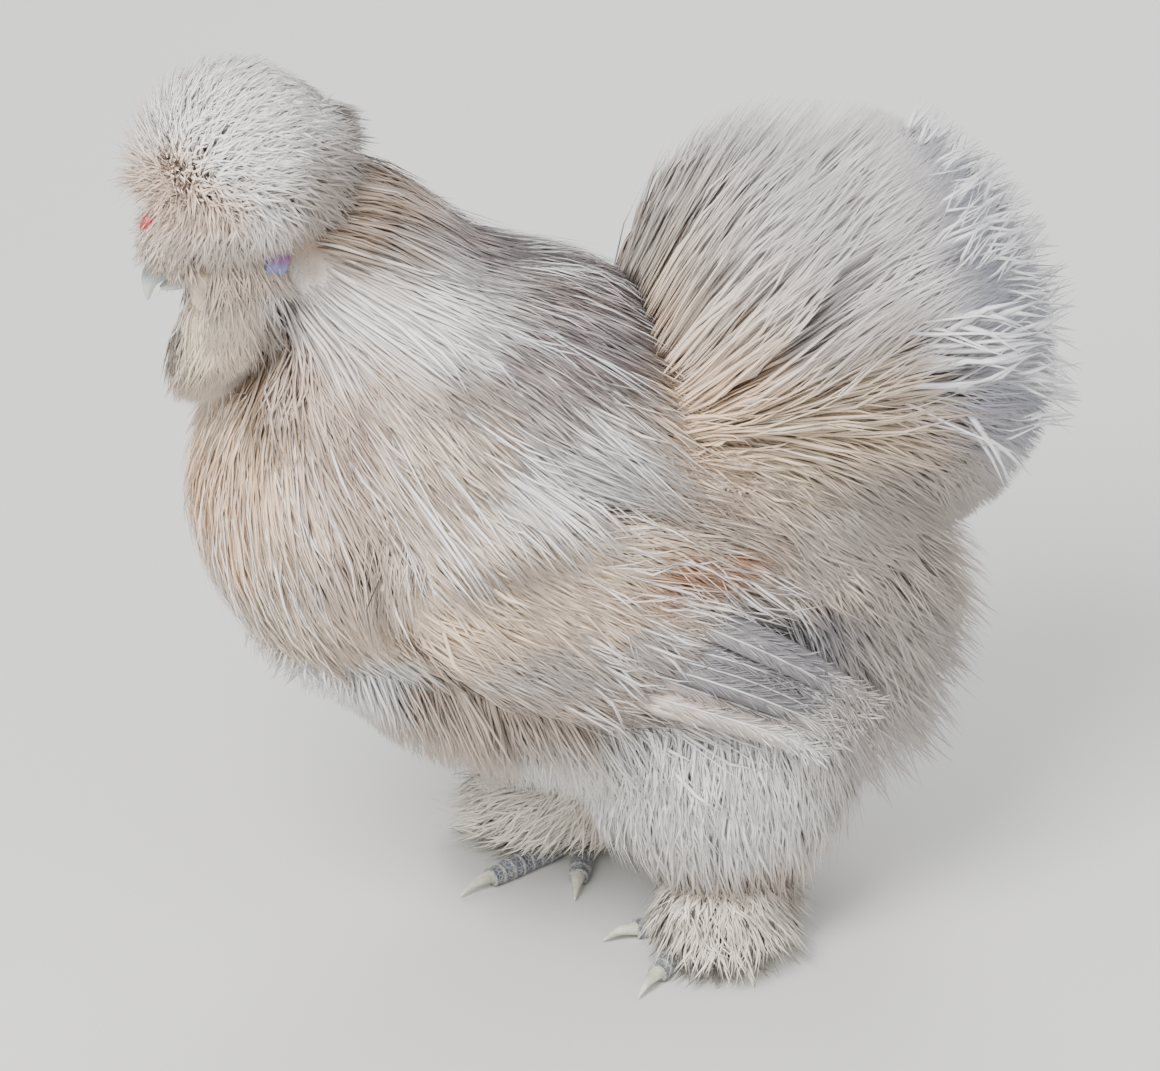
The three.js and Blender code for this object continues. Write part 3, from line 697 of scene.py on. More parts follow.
class Paint:
    """A material and its nodes. Constants go straight on the shader's sockets."""

    def __init__(self, name, **constants):
        self.material = bpy.data.materials.new(name)
        self.material.use_nodes = True
        self.tree = self.material.node_tree
        self.shader = self.tree.nodes["Principled BSDF"]
        for label, value in constants.items():
            self.shader.inputs[label.replace("_", " ").title().replace("Ior", "IOR")].default_value = value

    def node(self, kind, settings, inputs, output=0):
        """Any node, by its type, its settings and the values or wires of its sockets. Gives one output."""
        made = self.tree.nodes.new("ShaderNode" + kind)
        for label, value in settings.items():
            setattr(made, label, value)
        for socket, value in inputs.items():
            if isinstance(value, Wire):
                self.tree.links.new(value.socket, made.inputs[socket])
            else:
                made.inputs[socket].default_value = value
        return Wire(self, made.outputs[output])

    def vectors(self, operation, *values, output="Vector", **named):
        """A Vector Math node on these values."""
        return self.node("VectorMath", {"operation": operation}, {**dict(enumerate(values)), **named}, output)

    def attribute(self, label, output="Fac"):
        """A value or vector that the mesh carries."""
        return self.node("Attribute", {"attribute_name": label}, {}, output)

    def place(self):
        """The point on the object."""
        return self.node("TexCoord", {}, {}, "Object")

    def mix(self, a, b, share):
        """A colour between two."""
        settings = {"data_type": "RGBA", "clamp_factor": True}
        return self.node("Mix", settings, {"Factor": share, 6: a, 7: b}, 2)

    def near(self, place, centre, radii, soft=0.5):
        """1 inside an ellipsoid, 0 outside it: (1 + soft - length of the offset over the radii) / soft."""
        offset = self.vectors("SUBTRACT", place, tuple(in_place(centre)))
        scaled = self.vectors("DIVIDE", offset, tuple(np.array(radii, float) * MM))
        length = self.vectors("LENGTH", scaled, output="Value")
        return ((1 + soft - length) / soft).clamp()

    def noise(self, place, scale, detail=2.0, stretch=None):
        """Cloudy noise of so many lumps a metre."""
        if stretch:
            place = self.vectors("MULTIPLY", place, stretch)
        return self.node("TexNoise", {}, {"Vector": place, "Scale": scale, "Detail": detail})

    def bump(self, height, distance, strength=0.6):
        """A normal from a height."""
        return self.node("Bump", {}, {"Height": height, "Distance": distance, "Strength": strength})

    def feed(self, **wires):
        """Wires into the shader."""
        for label, wire in wires.items():
            self.tree.links.new(wire.socket, self.shader.inputs[label.replace("_", " ").title()])
        return self.material


# The coat's markings, and two painted shadows: a colour, where it lies, how far it reaches, how soft its edge
# is
MARKINGS_AND_PAINTED_SHADOWS = (
    ("d8c2ae", (-70, 0, 205), (50, 80, 40), 0.9),
    ("7c7175", (-54, 0, 230), (40, 44, 15), 0.7),
    ("857a7c", (-72, 0, 257), (30, 26, 8), 0.6),
    ("f4f0ee", (-122, 0, 244), (12, 60, 10), 0.6),
    ("ece6e2", (-94, 0, 244), (18, 60, 12), 0.8),
    ("efcba6", (-148, 0, 186), (20, 34, 32), 0.7),
    ("f6c9a0", (-152, 0, 164), (13, 34, 24), 0.8),
    ("b59c8c", (-118, 0, 208), (8, 60, 20), 0.9),
    ("a39690", (-66, 0, 214), (8, 60, 18), 0.9),
    ("ecdac5", (-138, 0, 142), (22, 40, 18), 0.8),
    ("ffffff", (-113, 0, 126), (16, 66, 17), 0.7),
    ("fbf8f6", (-55, 0, 201), (18, 66, 11), 0.8),
    ("84705f", (-108, 0, 274), (15, 60, 20), 0.7),
    ("f6f1ec", (-146, 0, 298), (34, 44, 28), 0.3),
    ("e6c3a4", (-158, 0, 283), (12, 34, 12), 0.8),
    ("907b67", (-118, 0, 274), (13, 40, 19), 0.8),
    ("f6dfc0", (-154, 0, 232), (16, 34, 22), 0.4),
    # Painted shadow: a thin dark line under the crest's lower edge, where the crest overhangs the face
    ("b09a82", (-144, 0, 259), (18, 34, 4), 0.9),
    # Painted shadow: a dark crease between the beard and the hackle
    ("8a715b", (-135, 0, 226), (5, 40, 18), 0.7),
    ("f6cfa8", (2, 0, 206), (20, 60, 20), 0.9),
    ("f3e2d0", (8, 0, 240), (16, 40, 26), 0.8),
    ("a6968b", (30, 0, 216), (6, 44, 10), 0.9),
    ("ece5e3", (52, 0, 244), (36, 50, 36), 0.7),
    ("b0b2c0", (104, 0, 216), (26, 70, 50), 0.7),
    ("e3caab", (34, 0, 190), (22, 66, 12), 0.8),
    ("c0b3a8", (66, 0, 160), (30, 80, 14), 0.8),
    ("fbdcbc", (-86, 0, 152), (32, 120, 17), 0.7),
    ("fde2c4", (-38, 0, 160), (30, 120, 12), 0.8),
    ("b67e56", (-8, 0, 157), (18, 120, 6), 0.9),
    ("cdc2ba", (-44, 0, 134), (32, 120, 10), 0.7),
    ("69676f", (22, 0, 122), (36, 120, 18), 0.6),
    ("fbf8f5", (4, 0, 74), (60, 110, 26), 0.5),
    ("b0a69e", (66, 0, 98), (26, 110, 36), 0.6),
    ("fdf2df", (-10, 0, 14), (70, 110, 14), 0.6),
    ("a98c70", (5, -76, 29), (12, 12, 7), 0.8),
)


def markings(paint, place):
    """The coat's colour at a place: beige, with each marking and painted shadow mixed in over the one before,
    then clouded. A coarse noise moves their edges about by up to half of WARP."""
    cloud = paint.noise(place, 38)
    colour = paint.mix(tint("d8c2ad"), tint("bdab9e"), cloud * 2.4 - 0.7)
    warp = paint.node("TexNoise", {}, {"Vector": place, "Scale": 42.0}, "Color")
    moved = paint.vectors("ADD", place, paint.vectors("SCALE", warp, Scale=WARP))
    centred = paint.vectors("SUBTRACT", moved, (WARP / 2, WARP / 2, WARP / 2))
    for code, centre, radii, soft in MARKINGS_AND_PAINTED_SHADOWS:
        colour = paint.mix(colour, tint(code), paint.near(centred, centre, radii, soft) * 0.9)
    blush = paint.noise(place, 55, 3)
    return paint.mix(colour, tint("e2bf9f"), (blush * 3 - 1.75).clamp() * 0.4)


def plumage_material():
    """Silky strands: the markings and painted shadows between the root's place and the point's own, streaked
    across like the barbs of a loose feather, with a share of darker and of white strands, paler tips, and
    painted shade darkening each strand towards its root. The normal leans towards the skin's, so that strands
    shade softly together."""
    paint = Paint("plumage_finish", roughness=0.55, specular_ior_level=0.3, sheen_weight=0.3,
                  sheen_roughness=0.4)
    rooted = paint.vectors("SCALE", paint.attribute("root", "Vector"), Scale=0.35)
    place = paint.vectors("ADD", rooted, paint.vectors("SCALE", paint.place(), Scale=0.65))
    along, across, chance, lock, streaks_and_root_shade, bright = (
        paint.attribute(label) for label in ("along", "across", "chance", "lock", "streaks_and_root_shade", "bright")
    )
    colour = markings(paint, place)
    apart = {"X": across * BARBS_PER_MM + chance * 83, "Y": along * 1.3, "Z": lock * 29}
    barbs = paint.node("CombineXYZ", {}, apart)
    streak = paint.node("TexNoise", {}, {"Vector": barbs, "Scale": 1.0, "Detail": 1.0})
    deep = (lock * 1.5 - 1.0).clamp() * 0.5 + (chance * 4 - 3.4).clamp() * 0.5
    deep = deep + (streak * 5 - 2.9).clamp() * 0.3
    colour = paint.mix(colour, tint("8a7a74"), (deep * streaks_and_root_shade).clamp() * 0.75)
    pale = (1 - chance * 9).clamp() * 0.55 + (2.2 - streak * 5).clamp() * 0.25 + (along - 0.6).clamp() * 0.25
    colour = paint.mix(colour, tint("fbf8f4"), pale.clamp() * 0.7)
    colour = paint.mix(colour, tint("fdfbfc"), bright)
    # Painted shade: each strand darkens towards its root, where it lies under the strands above.
    shade = paint.mix(colour, tint("b5a08c"), (0.4 - along * 1.6).clamp() * streaks_and_root_shade * 0.55)
    facing = paint.vectors("SCALE", paint.attribute("facing", "Vector"), Scale=1.6)
    ridge = paint.node("NewGeometry", {}, {}, "Normal")
    soft = paint.vectors("NORMALIZE", paint.vectors("ADD", facing, ridge))
    return paint.feed(base_color=shade, normal=soft)


def skin_material():
    """The skin under the coat carries the same markings and painted shadows, with painted shade in dark
    streaks here and there, like down in the shade. It is bare, red and pebbled on the face."""
    paint = Paint("skin_finish", roughness=0.7)
    place = paint.place()
    bare = paint.near(place, (-164, 0, 255), (11, 18, 12), 0.3)
    pebbles = paint.node("TexVoronoi", {}, {"Vector": place, "Scale": 900.0}, "Distance")
    blood = paint.mix(tint("b5525a"), tint("93434f"), paint.noise(place, 160) * 1.4 - 0.2)
    down = paint.noise(place, 420, 4, (1.0, 1.0, 0.35))
    # Painted shade: dark streaks of noise stand for the shade between the fibres of down.
    fluff = paint.mix(markings(paint, place), tint("6f6762"), (down * 1.6 - 0.62).clamp() * 0.55)
    colour = paint.mix(fluff, blood, bare)
    return paint.feed(base_color=colour, normal=paint.bump(down + pebbles * 0.4, 0.0016))


# The face: comb, beak, eyes, lids and earlobes
def sphere_grid(rows, columns):
    """Directions over a sphere, rows from pole to pole by columns by 3, with the poles left open by a
    hair."""
    polar = np.linspace(0.02, math.pi - 0.02, rows)[:, None]
    around = np.linspace(0, 2 * math.pi, columns, endpoint=False)[None, :]
    flat = np.sin(polar)
    ways = np.stack([flat * np.cos(around), flat * np.sin(around), np.cos(polar) + 0 * around], axis=-1)
    return ways[:, ::-1]


def make_comb():
    """A small cushion comb: an ellipsoid swollen by bulbs, each a bump that falls off with the angle from
    its middle."""
    random = np.random.default_rng(5)
    ways = sphere_grid(56, 72)
    middles = unit(random.normal(size=(COMB["bulbs"], 3)))
    angle = np.arccos(np.clip(np.einsum("rcx,bx->rcb", ways, middles), -1, 1))
    spread = random.uniform(0.24, 0.46, COMB["bulbs"])
    bulbs = np.sqrt(np.maximum(0, 1 - (angle / spread) ** 2)).max(axis=-1)
    points = ways * (np.array(COMB["radii"]) + bulbs[..., None] * COMB["bulb"])
    comb = tube("comb_skin", points + COMB["centre"], "comb", ["comb"])
    paint = Paint("comb_finish", roughness=0.42, subsurface_weight=0.15)
    place = paint.place()
    colour = paint.mix(tint("a11420"), tint("cf3f4c"), paint.noise(place, 420, 3) * 2 - 0.6)
    fine = paint.node("TexVoronoi", {}, {"Vector": place, "Scale": 1700.0}, "Distance")
    comb.data.materials.append(paint.feed(base_color=colour, normal=paint.bump(fine, 0.0003)))


def curve(points, shares):
    """A smooth line through points at even shares, each stretch a cubic by the points before and after
    it."""
    points = np.array(points, float)
    points = np.concatenate([2 * points[:1] - points[1:2], points, 2 * points[-1:] - points[-2:-1]])
    scaled = np.clip(np.asarray(shares, float), 0, 1) * (len(points) - 3)
    k = np.minimum(scaled.astype(int), len(points) - 4)
    t = (scaled - k)[:, None]
    a, b, c, d = (points[k + n] for n in range(4))
    return 0.5 * (2 * b + (c - a) * t + (2 * a - 5 * b + 4 * c - d) * t**2 + (3 * b - a - 3 * c + d) * t**3)


def sweep(points, radius, shares, columns, squash=1.0):
    """Rings round a smooth line. radius(share, across, top) gives each corner's reach, with across and top
    from -1 to 1."""
    shares = np.asarray(shares, float)
    line = curve(points, shares)
    ahead = curve(points, shares + 0.01)
    behind = curve(points, shares - 0.01)
    along = unit(ahead - behind)
    across = unit(np.cross([0, 0, 1], along))
    top = np.cross(along, across)
    angle = np.linspace(0, 2 * math.pi, columns, endpoint=False)[None, :]
    wide, tall = np.cos(angle), np.sin(angle)
    reach = radius(shares[:, None], wide, tall)
    offset = across[:, None] * (wide * reach)[..., None] + top[:, None] * (tall * reach * squash)[..., None]
    return line[:, None] + offset


def make_beak():
    """Upper and lower bill: horn swept along a hooked line, with a keel on top, a nostril on each side and
    a raised edge along the gape."""
    upper = (BEAK_ROOT, np.add(BEAK_TIP, (8, 0, 12.5)), np.add(BEAK_TIP, (1.6, 0, 8)), BEAK_TIP)
    shares = np.linspace(0, 1, 44)

    def over(share, wide, tall):
        body = BEAK_WIDTH / 2 * (1 - share**1.6) + 0.45
        keel = 1 + 0.14 * np.maximum(0, tall) ** 6
        edge = 1 + 0.10 * np.exp(-((tall + 0.55) / 0.18) ** 2)
        nostril = np.exp(-((share - 0.32) / 0.07) ** 2 - ((tall - 0.42) / 0.16) ** 2) * 0.16
        return body * keel * edge * (1 - nostril)

    def under(share, wide, tall):
        return BEAK_WIDTH / 2 * (0.8 - 0.62 * share**1.5) * (1 - 0.05 * np.maximum(0, tall))

    lower = (np.add(BEAK_ROOT, (0, 0, -3)), np.add(BEAK_TIP, (9, 0, 5.4)), np.add(BEAK_TIP, (4.4, 0, 3.6)))
    pieces = [
        tube("beak_upper_horn", sweep(upper, over, shares, 48, 0.8), "beak", ["beak_upper"]),
        tube("beak_lower_horn", sweep(lower, under, shares, 40, 0.62), "beak", ["beak_lower"]),
    ]
    paint = Paint("beak_finish", roughness=0.34, coat_weight=0.15)
    place = paint.place()
    tip = paint.near(place, np.add(BEAK_TIP, (2, 0, 0)), (8, 9, 6), 0.9)
    colour = paint.mix(tint("53666f"), tint("768a91"), paint.noise(place, 300) * 2 - 0.5)
    colour = paint.mix(colour, tint("cfd2c0"), tip * 0.7)
    grain = paint.noise(place, 900, 2, (0.25, 1, 1))
    for piece in pieces:
        piece.data.materials.append(paint.material)
    paint.feed(base_color=colour, normal=paint.bump(grain, 0.0003, 0.35))


def lid_rings(side):
    """A fold of skin round an eye: a small circle carried round an oval, thicker above."""
    turn = np.linspace(0, 2 * math.pi, 48, endpoint=False)[:, None]
    fold = np.linspace(0, 2 * math.pi, 12, endpoint=False)[None, :]
    thick = (EYE["lid"] + 0.15 * np.sin(3 * fold)) * np.cos(fold) * (0.8 + 0.3 * np.sin(turn))
    reach = EYE["radius"] + 0.1 + thick
    stand = side * (1.1 + 1.1 * np.sin(fold)) + 0 * turn
    rings = np.stack([reach * np.cos(turn) * 1.1, stand, reach * np.sin(turn) * 0.88], axis=-1)
    return rings[::-1] if side < 0 else rings


def make_eyes():
    """Each eye is a wet dark ball; two folds of skin, the lids, ring it."""
    paint = Paint("eye_finish", roughness=0.06, coat_weight=1.0)
    place = paint.place()
    lids = Paint("lid_finish", roughness=0.6)
    fold = lids.noise(lids.place(), 800, 3)
    lids.feed(base_color=lids.mix(tint("5c3a44"), tint("8a545a"), fold), normal=lids.bump(fold, 0.0004))
    colour = tint("120c0a")
    for side in SIDES:
        label = side_name(side)
        centre = on_side(EYE["centre"], side)
        front = centre + [0, side * EYE["radius"], 0]
        points = sphere_grid(32, 40) * EYE["radius"] + centre
        ball = tube(f"eyeball_{label}", points, "eye", [f"eye_{label}"])
        colour = paint.mix(colour, tint("3a1f12"), paint.near(place, front, EYE["iris"], 0.2))
        colour = paint.mix(colour, tint("060404"), paint.near(place, front, EYE["pupil"], 0.12))
        ball.data.materials.append(paint.material)
        rings = lid_rings(side)
        rows, columns, _ = rings.shape
        faces = grid_faces(rows + 1, columns) % (rows * columns)
        lid = make_piece(f"lids_{label}", (rings + centre).reshape(-1, 3), [faces], "face_skin")
        lid.data.materials.append(lids.material)
    paint.feed(base_color=colour)


def make_lobes():
    """Each earlobe is a leaf of wrinkled blue skin, an ellipsoid creased along its length and leaned
    back."""
    paint = Paint("lobe_finish", roughness=0.22, coat_weight=0.4)
    place = paint.place()
    sheen = paint.noise(place, 330, 3)
    colour = paint.mix(tint("41609f"), tint("8488c0"), sheen * 2.2 - 0.6)
    ways = sphere_grid(40, 48)
    creased = 1 + 0.07 * np.sin(9 * ways[..., :1] + 3 * ways[..., 2:]) * (1 - ways[..., 2:] ** 2)
    x, y, z = np.moveaxis(ways * np.array(EARLOBE["radii"]) * creased, -1, 0)
    c, s = math.cos(math.radians(EARLOBE["lean"])), math.sin(math.radians(EARLOBE["lean"]))
    leaned = np.stack([c * x + s * z, y, c * z - s * x], axis=-1)
    for side in SIDES:
        centre = on_side(EARLOBE["centre"], side) + [0, side * EARLOBE["out"], 0]
        lobe = tube(f"lobe_{side_name(side)}", leaned + centre, "earlobe", [f"earlobe_{side_name(side)}"])
        lobe.data.materials.append(paint.material)
        mauve = paint.near(place, centre + [2.5, 0, 5], (4.5, 6, 3.4), 0.7)
        colour = paint.mix(colour, tint("7a3f62"), mauve * 0.8)
    paint.feed(base_color=colour, normal=paint.bump(sheen, 0.0004, 0.5))


# The feet
def toe_way(side, toe):
    """Which way a toe points."""
    return way_at(FEET[side]["heading"] + side * toe["turn"])


def toe_point(side, toe, reach, height):
    """A point over a toe's line on the floor."""
    foot = FEET[side]
    return np.array([foot["x"], foot["y"], height]) + toe_way(side, toe) * reach


def toe_finish():
    """Slate horn with pale edges between scales, and paler still on the scutes' ridges."""
    paint = Paint("toe_finish", roughness=0.5)
    place = paint.place()
    cells = {"Vector": place, "Scale": 620.0}
    scales = paint.node("TexVoronoi", {"feature": "DISTANCE_TO_EDGE"}, cells, "Distance")
    edge = (1 - scales * 9).clamp()
    slate = paint.mix(tint("4c535e"), tint("767c84"), paint.noise(place, 200) * 2 - 0.5)
    colour = paint.mix(slate, tint("cfc9bd"), (edge * 0.5 + paint.attribute("ridge") * 0.8).clamp())
    return paint.feed(base_color=colour, normal=paint.bump(scales, 0.0007, 0.7))


def claw_finish():
    """Pale cloudy horn."""
    paint = Paint("claw_finish", roughness=0.35)
    cloud = paint.noise(paint.place(), 260, 2) * 2 - 0.5
    return paint.feed(base_color=paint.mix(tint("a9a995"), tint("dcd8c6"), cloud))


def make_shank(side, finish):
    """A shank: a round rod from the thigh down to the ankle, a little wider below."""
    foot, label = FEET[side], side_name(side)
    ankle = SHANK["ankle"] - 3
    line = [(foot["x"] + ahead, foot["y"], height)
            for ahead, height in ((10, SHANK["height"]), (4, SHANK["height"] / 2), (0, ankle))]
    rings = sweep(line, lambda s, w, t: SHANK["radius"] + 0.8 * s + 0 * w, np.linspace(0, 1, 24), 28)
    shank = tube(f"shank_{label}", rings, "toe_scale", [f"foot_{label}"])
    shank.data.materials.append(finish)


def make_toe(side, number, toe, finish):
    """A toe covered with overlapping scutes: a saw wave of the length, raised on top only."""
    label = side_name(side)
    count = round(toe["length"] / TOE["scute"])
    shares = np.linspace(0, 1, count * 7 + 1)

    def plated(share, wide, tall):
        saw = 1 - (share * count) % 1
        swell = 1 + 0.09 * np.sin(share * math.pi * 3) ** 2
        top = np.maximum(0, tall) ** 0.5
        return TOE["radius"] * (1.14 - 0.34 * share) * swell + TOE["step"] * (saw**2 * top + 0.35 * (1 - top))

    line = (toe_point(side, toe, 0, SHANK["ankle"]), toe_point(side, toe, toe["length"] * 0.4, toe["middle"]),
            toe_point(side, toe, toe["length"], toe["rise"]))
    rings = sweep(line, plated, shares, TOE["corners"])
    rings[..., 2] = np.maximum(rings[..., 2], TOE["clear"])
    piece = tube(f"toe_{label}_{number}", rings, "toe_scale", [f"foot_{label}"])
    ridge = np.repeat(np.maximum(0, 1 - np.abs((shares * count) % 1 - 0.08) * 7), TOE["corners"])
    layer = piece.data.attributes.new("ridge", "FLOAT", "POINT")
    layer.data.foreach_set("value", np.append(ridge, [0, 0]).astype(np.float32))
    piece.data.materials.append(finish)


def make_claw(side, number, toe, finish):
    """A claw: tapering horn that hooks down to the floor, or hangs in the air on a raised toe."""
    label = side_name(side)
    drop = 0 if toe["rise"] > SHANK["ankle"] else 1
    line = (toe_point(side, toe, toe["length"] - 2, toe["rise"] + 0.4 * drop),
            toe_point(side, toe, toe["length"] + toe["claw"] * 0.5, toe["rise"] + 0.8),
            toe_point(side, toe, toe["length"] + toe["claw"], toe["rise"] + 0.6 - 2.6 * drop))
    rings = sweep(line, lambda s, w, t: 2.5 - 2.3 * s**1.3 + 0 * w, np.linspace(0, 1, 20), 20)
    rings[..., 2] = np.maximum(rings[..., 2], TOE["clear"] + 0.05)
    piece = tube(f"horn_{label}_{number}", rings, "claw", [f"claw_{label}_{number}"])
    piece.data.materials.append(finish)


def make_feet():
    """Both feet: shanks, toes and claws."""
    scales, horn = toe_finish(), claw_finish()
    for side in SIDES:
        make_shank(side, scales)
        for number, toe in enumerate(TOES, 1):
            make_toe(side, number, toe, scales)
            make_claw(side, number, toe, horn)


# Where strands take root, by the middles of the skin's quads, and how their length varies
def crest_takes(p):
    """The crest leaves the comb and beak free."""
    to_comb = unit(np.array([np.subtract(COMB["centre"], CREST["centre"])], float))
    return dot(unit(p - CREST["centre"]), to_comb)[:, 0] < CREST["comb_gap"]


def crest_grade(p):
    """The crest's strands are longest behind, where they run into the mane."""
    return 1 + 0.4 * np.clip((p[:, 0] + 136) / 16, 0, 1)


def face_takes(p):
    """The face's down leaves the bare skin round the eyes, the comb and the gape, and the earlobes."""
    mirrored = p * (1, 0, 1) + np.abs(p) * (0, 1, 0)
    clear_eye = np.linalg.norm(mirrored - EYE["centre"], axis=-1) > EYE["clear"]
    clear_lobe = np.linalg.norm(mirrored - EARLOBE["centre"], axis=-1) > EARLOBE["clear"]
    return ((p[:, 0] > -150) | (p[:, 2] > 262)) & clear_eye & clear_lobe


def face_grade(p):
    """The face's down is short round the beak."""
    return np.clip(0.4 + (p[:, 0] + 160) / 16, 0.4, 1)


def beard_takes(p):
    """The beard grows on the front of the throat."""
    return p[:, 0] < BEARD_BACK


def throat_takes(p):
    """The throat's plumage goes on behind the beard."""
    return p[:, 0] > BEARD_BACK - 5


def neck_takes(p):
    """The hackle's roots: the neck below the nape, clear of both earlobes."""
    mirrored = p * (1, 0, 1) + np.abs(p) * (0, 1, 0)
    clear_lobe = np.linalg.norm(mirrored - EARLOBE["centre"], axis=-1) > 10
    return (pole_distance(p) < NECK_CUT + 4) & (p[:, 2] < NECK_TOP) & clear_lobe


def hackle_grade(p):
    """The hackle's strands grow longer away from the head."""
    return 0.62 + 0.55 * pole_distance(p) / NECK_CUT


def streamer_takes(p):
    """Streamers leave the upper neck."""
    return neck_takes(p) & (pole_distance(p) > 36)


def body_takes(p):
    """The body's plumage starts under the hackle's edge."""
    return pole_distance(p) > NECK_CUT - 6


def saddle_takes(p):
    """The saddle grows on the hind back."""
    return (p[:, 0] > -24) & (p[:, 2] > 160)


def belly_takes(p):
    """The belly's fluff grows under a line that falls towards the tail."""
    return (p[:, 0] < 34) & (p[:, 2] < 128 - 0.12 * (p[:, 0] + 100))


def rump_takes(p):
    """The fluff under the tail, and on the flanks ahead of it."""
    return ((p[:, 0] > 34) | (p[:, 0] > 2) & (np.abs(p[:, 1]) > 28)) & (p[:, 2] < 158)


def tail_foot_takes(p):
    """The back where it rises into the tail."""
    return (p[:, 0] > -10) & (p[:, 0] < 52) & (p[:, 2] > 172)


def ribbon_takes(p):
    """Ribbons leave the cushion's upper rear."""
    return (p[:, 0] > TAIL_CENTRE[0] - 4) & (p[:, 2] > 188)


def wisp_takes(p):
    """Wisps leave the wing's front and middle."""
    return (p[:, 0] > -66) & (p[:, 0] < 4)


def off_vanes(p):
    """The coverts leave the flight feathers bare."""
    return (p[:, 0] < -2) | (p[:, 2] > 150 - 0.6 * p[:, 0])


def plume_takes(side):
    """A foot's down leaves the inner toes bare."""
    inner = toe_way(side, TOES[1])

    def takes(p):
        away = p[:, :2] - (FEET[side]["x"], FEET[side]["y"])
        return (away @ inner[:2] < 19) & (p[:, 2] > 3)

    return takes


def on_half(side, takes=everywhere):
    """The roots on one side that a region takes."""
    return lambda p: (side * p[:, 1] > 0) & takes(p)


# How far tips stand past where they should end
def crest_reach(tips):
    """Past the crest's lower edge, which rises towards the nape."""
    return np.maximum(0, CREST["edge"] + 0.25 * (tips[:, 0] + 150) - tips[:, 2])


def beard_reach(tips):
    """Past the beard's rounded outline."""
    return np.maximum(-4, BEARD_ENVELOPE(tips) - 1.5)


def belly_reach(tips):
    """Under the belly's lower line, a height for each place along the body, lower in the middle."""
    line = np.interp(tips[:, 0], *np.array(BELLY_LINE, float).T)
    return np.maximum(0, line - 12 + 0.35 * np.abs(tips[:, 1]) - tips[:, 2])


def over_wing(tips):
    """Below the wing's shoulder, on the flanks only."""
    line = np.interp(tips[:, 0], *np.array(SHOULDER_LINE, float).T)
    return np.maximum(0, line - tips[:, 2]) * np.clip((np.abs(tips[:, 1]) - 38) / 10, 0, 1)


def off_wings(tips):
    """In over a wing."""
    return np.maximum(0, 5 - np.minimum(REGIONS["wing_left"](tips), REGIONS["wing_right"](tips)))


def rump_reach(tips):
    """Past the tail's and the rump's outlines together."""
    return np.maximum(0, np.minimum(TAIL_ENVELOPE(tips), RUMP_ENVELOPE(tips)))


def tail_reach(tips):
    """Past the tail's rounded outline. Tips well inside it are drawn out by up to 16."""
    return np.maximum(-16, TAIL_ENVELOPE(tips))


def ribbon_reach(tips):
    """Past a line a little outside the tail's."""
    return np.maximum(-14, TAIL_ENVELOPE(tips) - 9)


# The skin and the coat
def dress(*arguments, **options):
    """A piece of coat in its finish."""
    coat(*arguments, **options).data.materials.append(plumage)


def flight_feathers(side):
    """A wing's flight feathers: wide thin vanes fanned down the wing, bowed outwards and up, each with a
    pale shaft along its middle and loose barbs along both edges."""
    random = np.random.default_rng(61 + side)
    count, stations = VANES["count"], VANES["stations"]
    share = np.linspace(0, 1, count)[:, None]
    roots, tips = (
        on_side(VANES[end][0], side) * (1 - share) + on_side(VANES[end][1], side) * share
        for end in ("roots", "tips")
    )
    run = np.linspace(0, 1, stations)[None, :, None]
    bow = np.array([0, side * 7, 5]) + random.normal(size=(count, 3)) * 1.5
    points = roots[:, None] * (1 - run) + tips[:, None] * run + bow[:, None] * np.sin(math.pi * run)
    outs = np.broadcast_to(unit(np.array([0, side, 0.35])), points.shape)
    along = unit(np.gradient(points, axis=1))
    across = unit(np.cross(along, outs))
    label = side_name(side)
    unwrap = unwrap_about(on_side(WING["centre"], side))

    def blades(name, lines, normals, width, flat, bright, starts):
        number = len(lines)
        tints = {"chance": random.random(number), "lock": random.random(number),
                 "streaks_and_root_shade": np.full(number, 0.6), "bright": np.full(number, bright)}
        widths = np.full(number, width, float)
        piece = strand_mesh(name, lines, normals, widths, flat, starts, unwrap, tints, "flight_feather")
        piece.data.materials.append(plumage)

    halfway = points[:, stations // 2]
    blades(f"vanes_{label}", points, outs, VANES["width"], 0.1, 0.0, halfway)
    blades(f"shafts_{label}", points + outs * 0.5, outs, 0.8, 0.8, 0.6, halfway)
    place = np.linspace(1, stations - 1.1, VANES["barbs"])
    near, part = place.astype(int), (place % 1)[None, :, None]
    stem = points[:, near] * (1 - part) + points[:, near + 1] * part
    angle = math.radians(VANES["angle"])
    lines = []
    for edge in (-1, 1):
        aim = along[:, near] * math.cos(angle) + edge * across[:, near] * math.sin(angle)
        aim = unit(aim + random.normal(size=aim.shape) * 0.12)
        reach = VANES["barb"] * (0.7 + 0.6 * random.random(stem.shape[:2]))[..., None, None]
        lines.append(stem[:, :, None] + aim[:, :, None] * reach * np.linspace(0, 1, 4)[None, None, :, None])
    lines = np.concatenate(lines).reshape(-1, 4, 3) + outs[0, 0] * 0.3
    blades(f"barbs_{label}", lines, np.broadcast_to(outs[0, 0], lines.shape), 0.6, 0.3, 0.05, lines[:, 0])


def shared(node, side):
    """A node that both sides' pieces cover is stood for by the left one."""
    return [node] if side < 0 else []


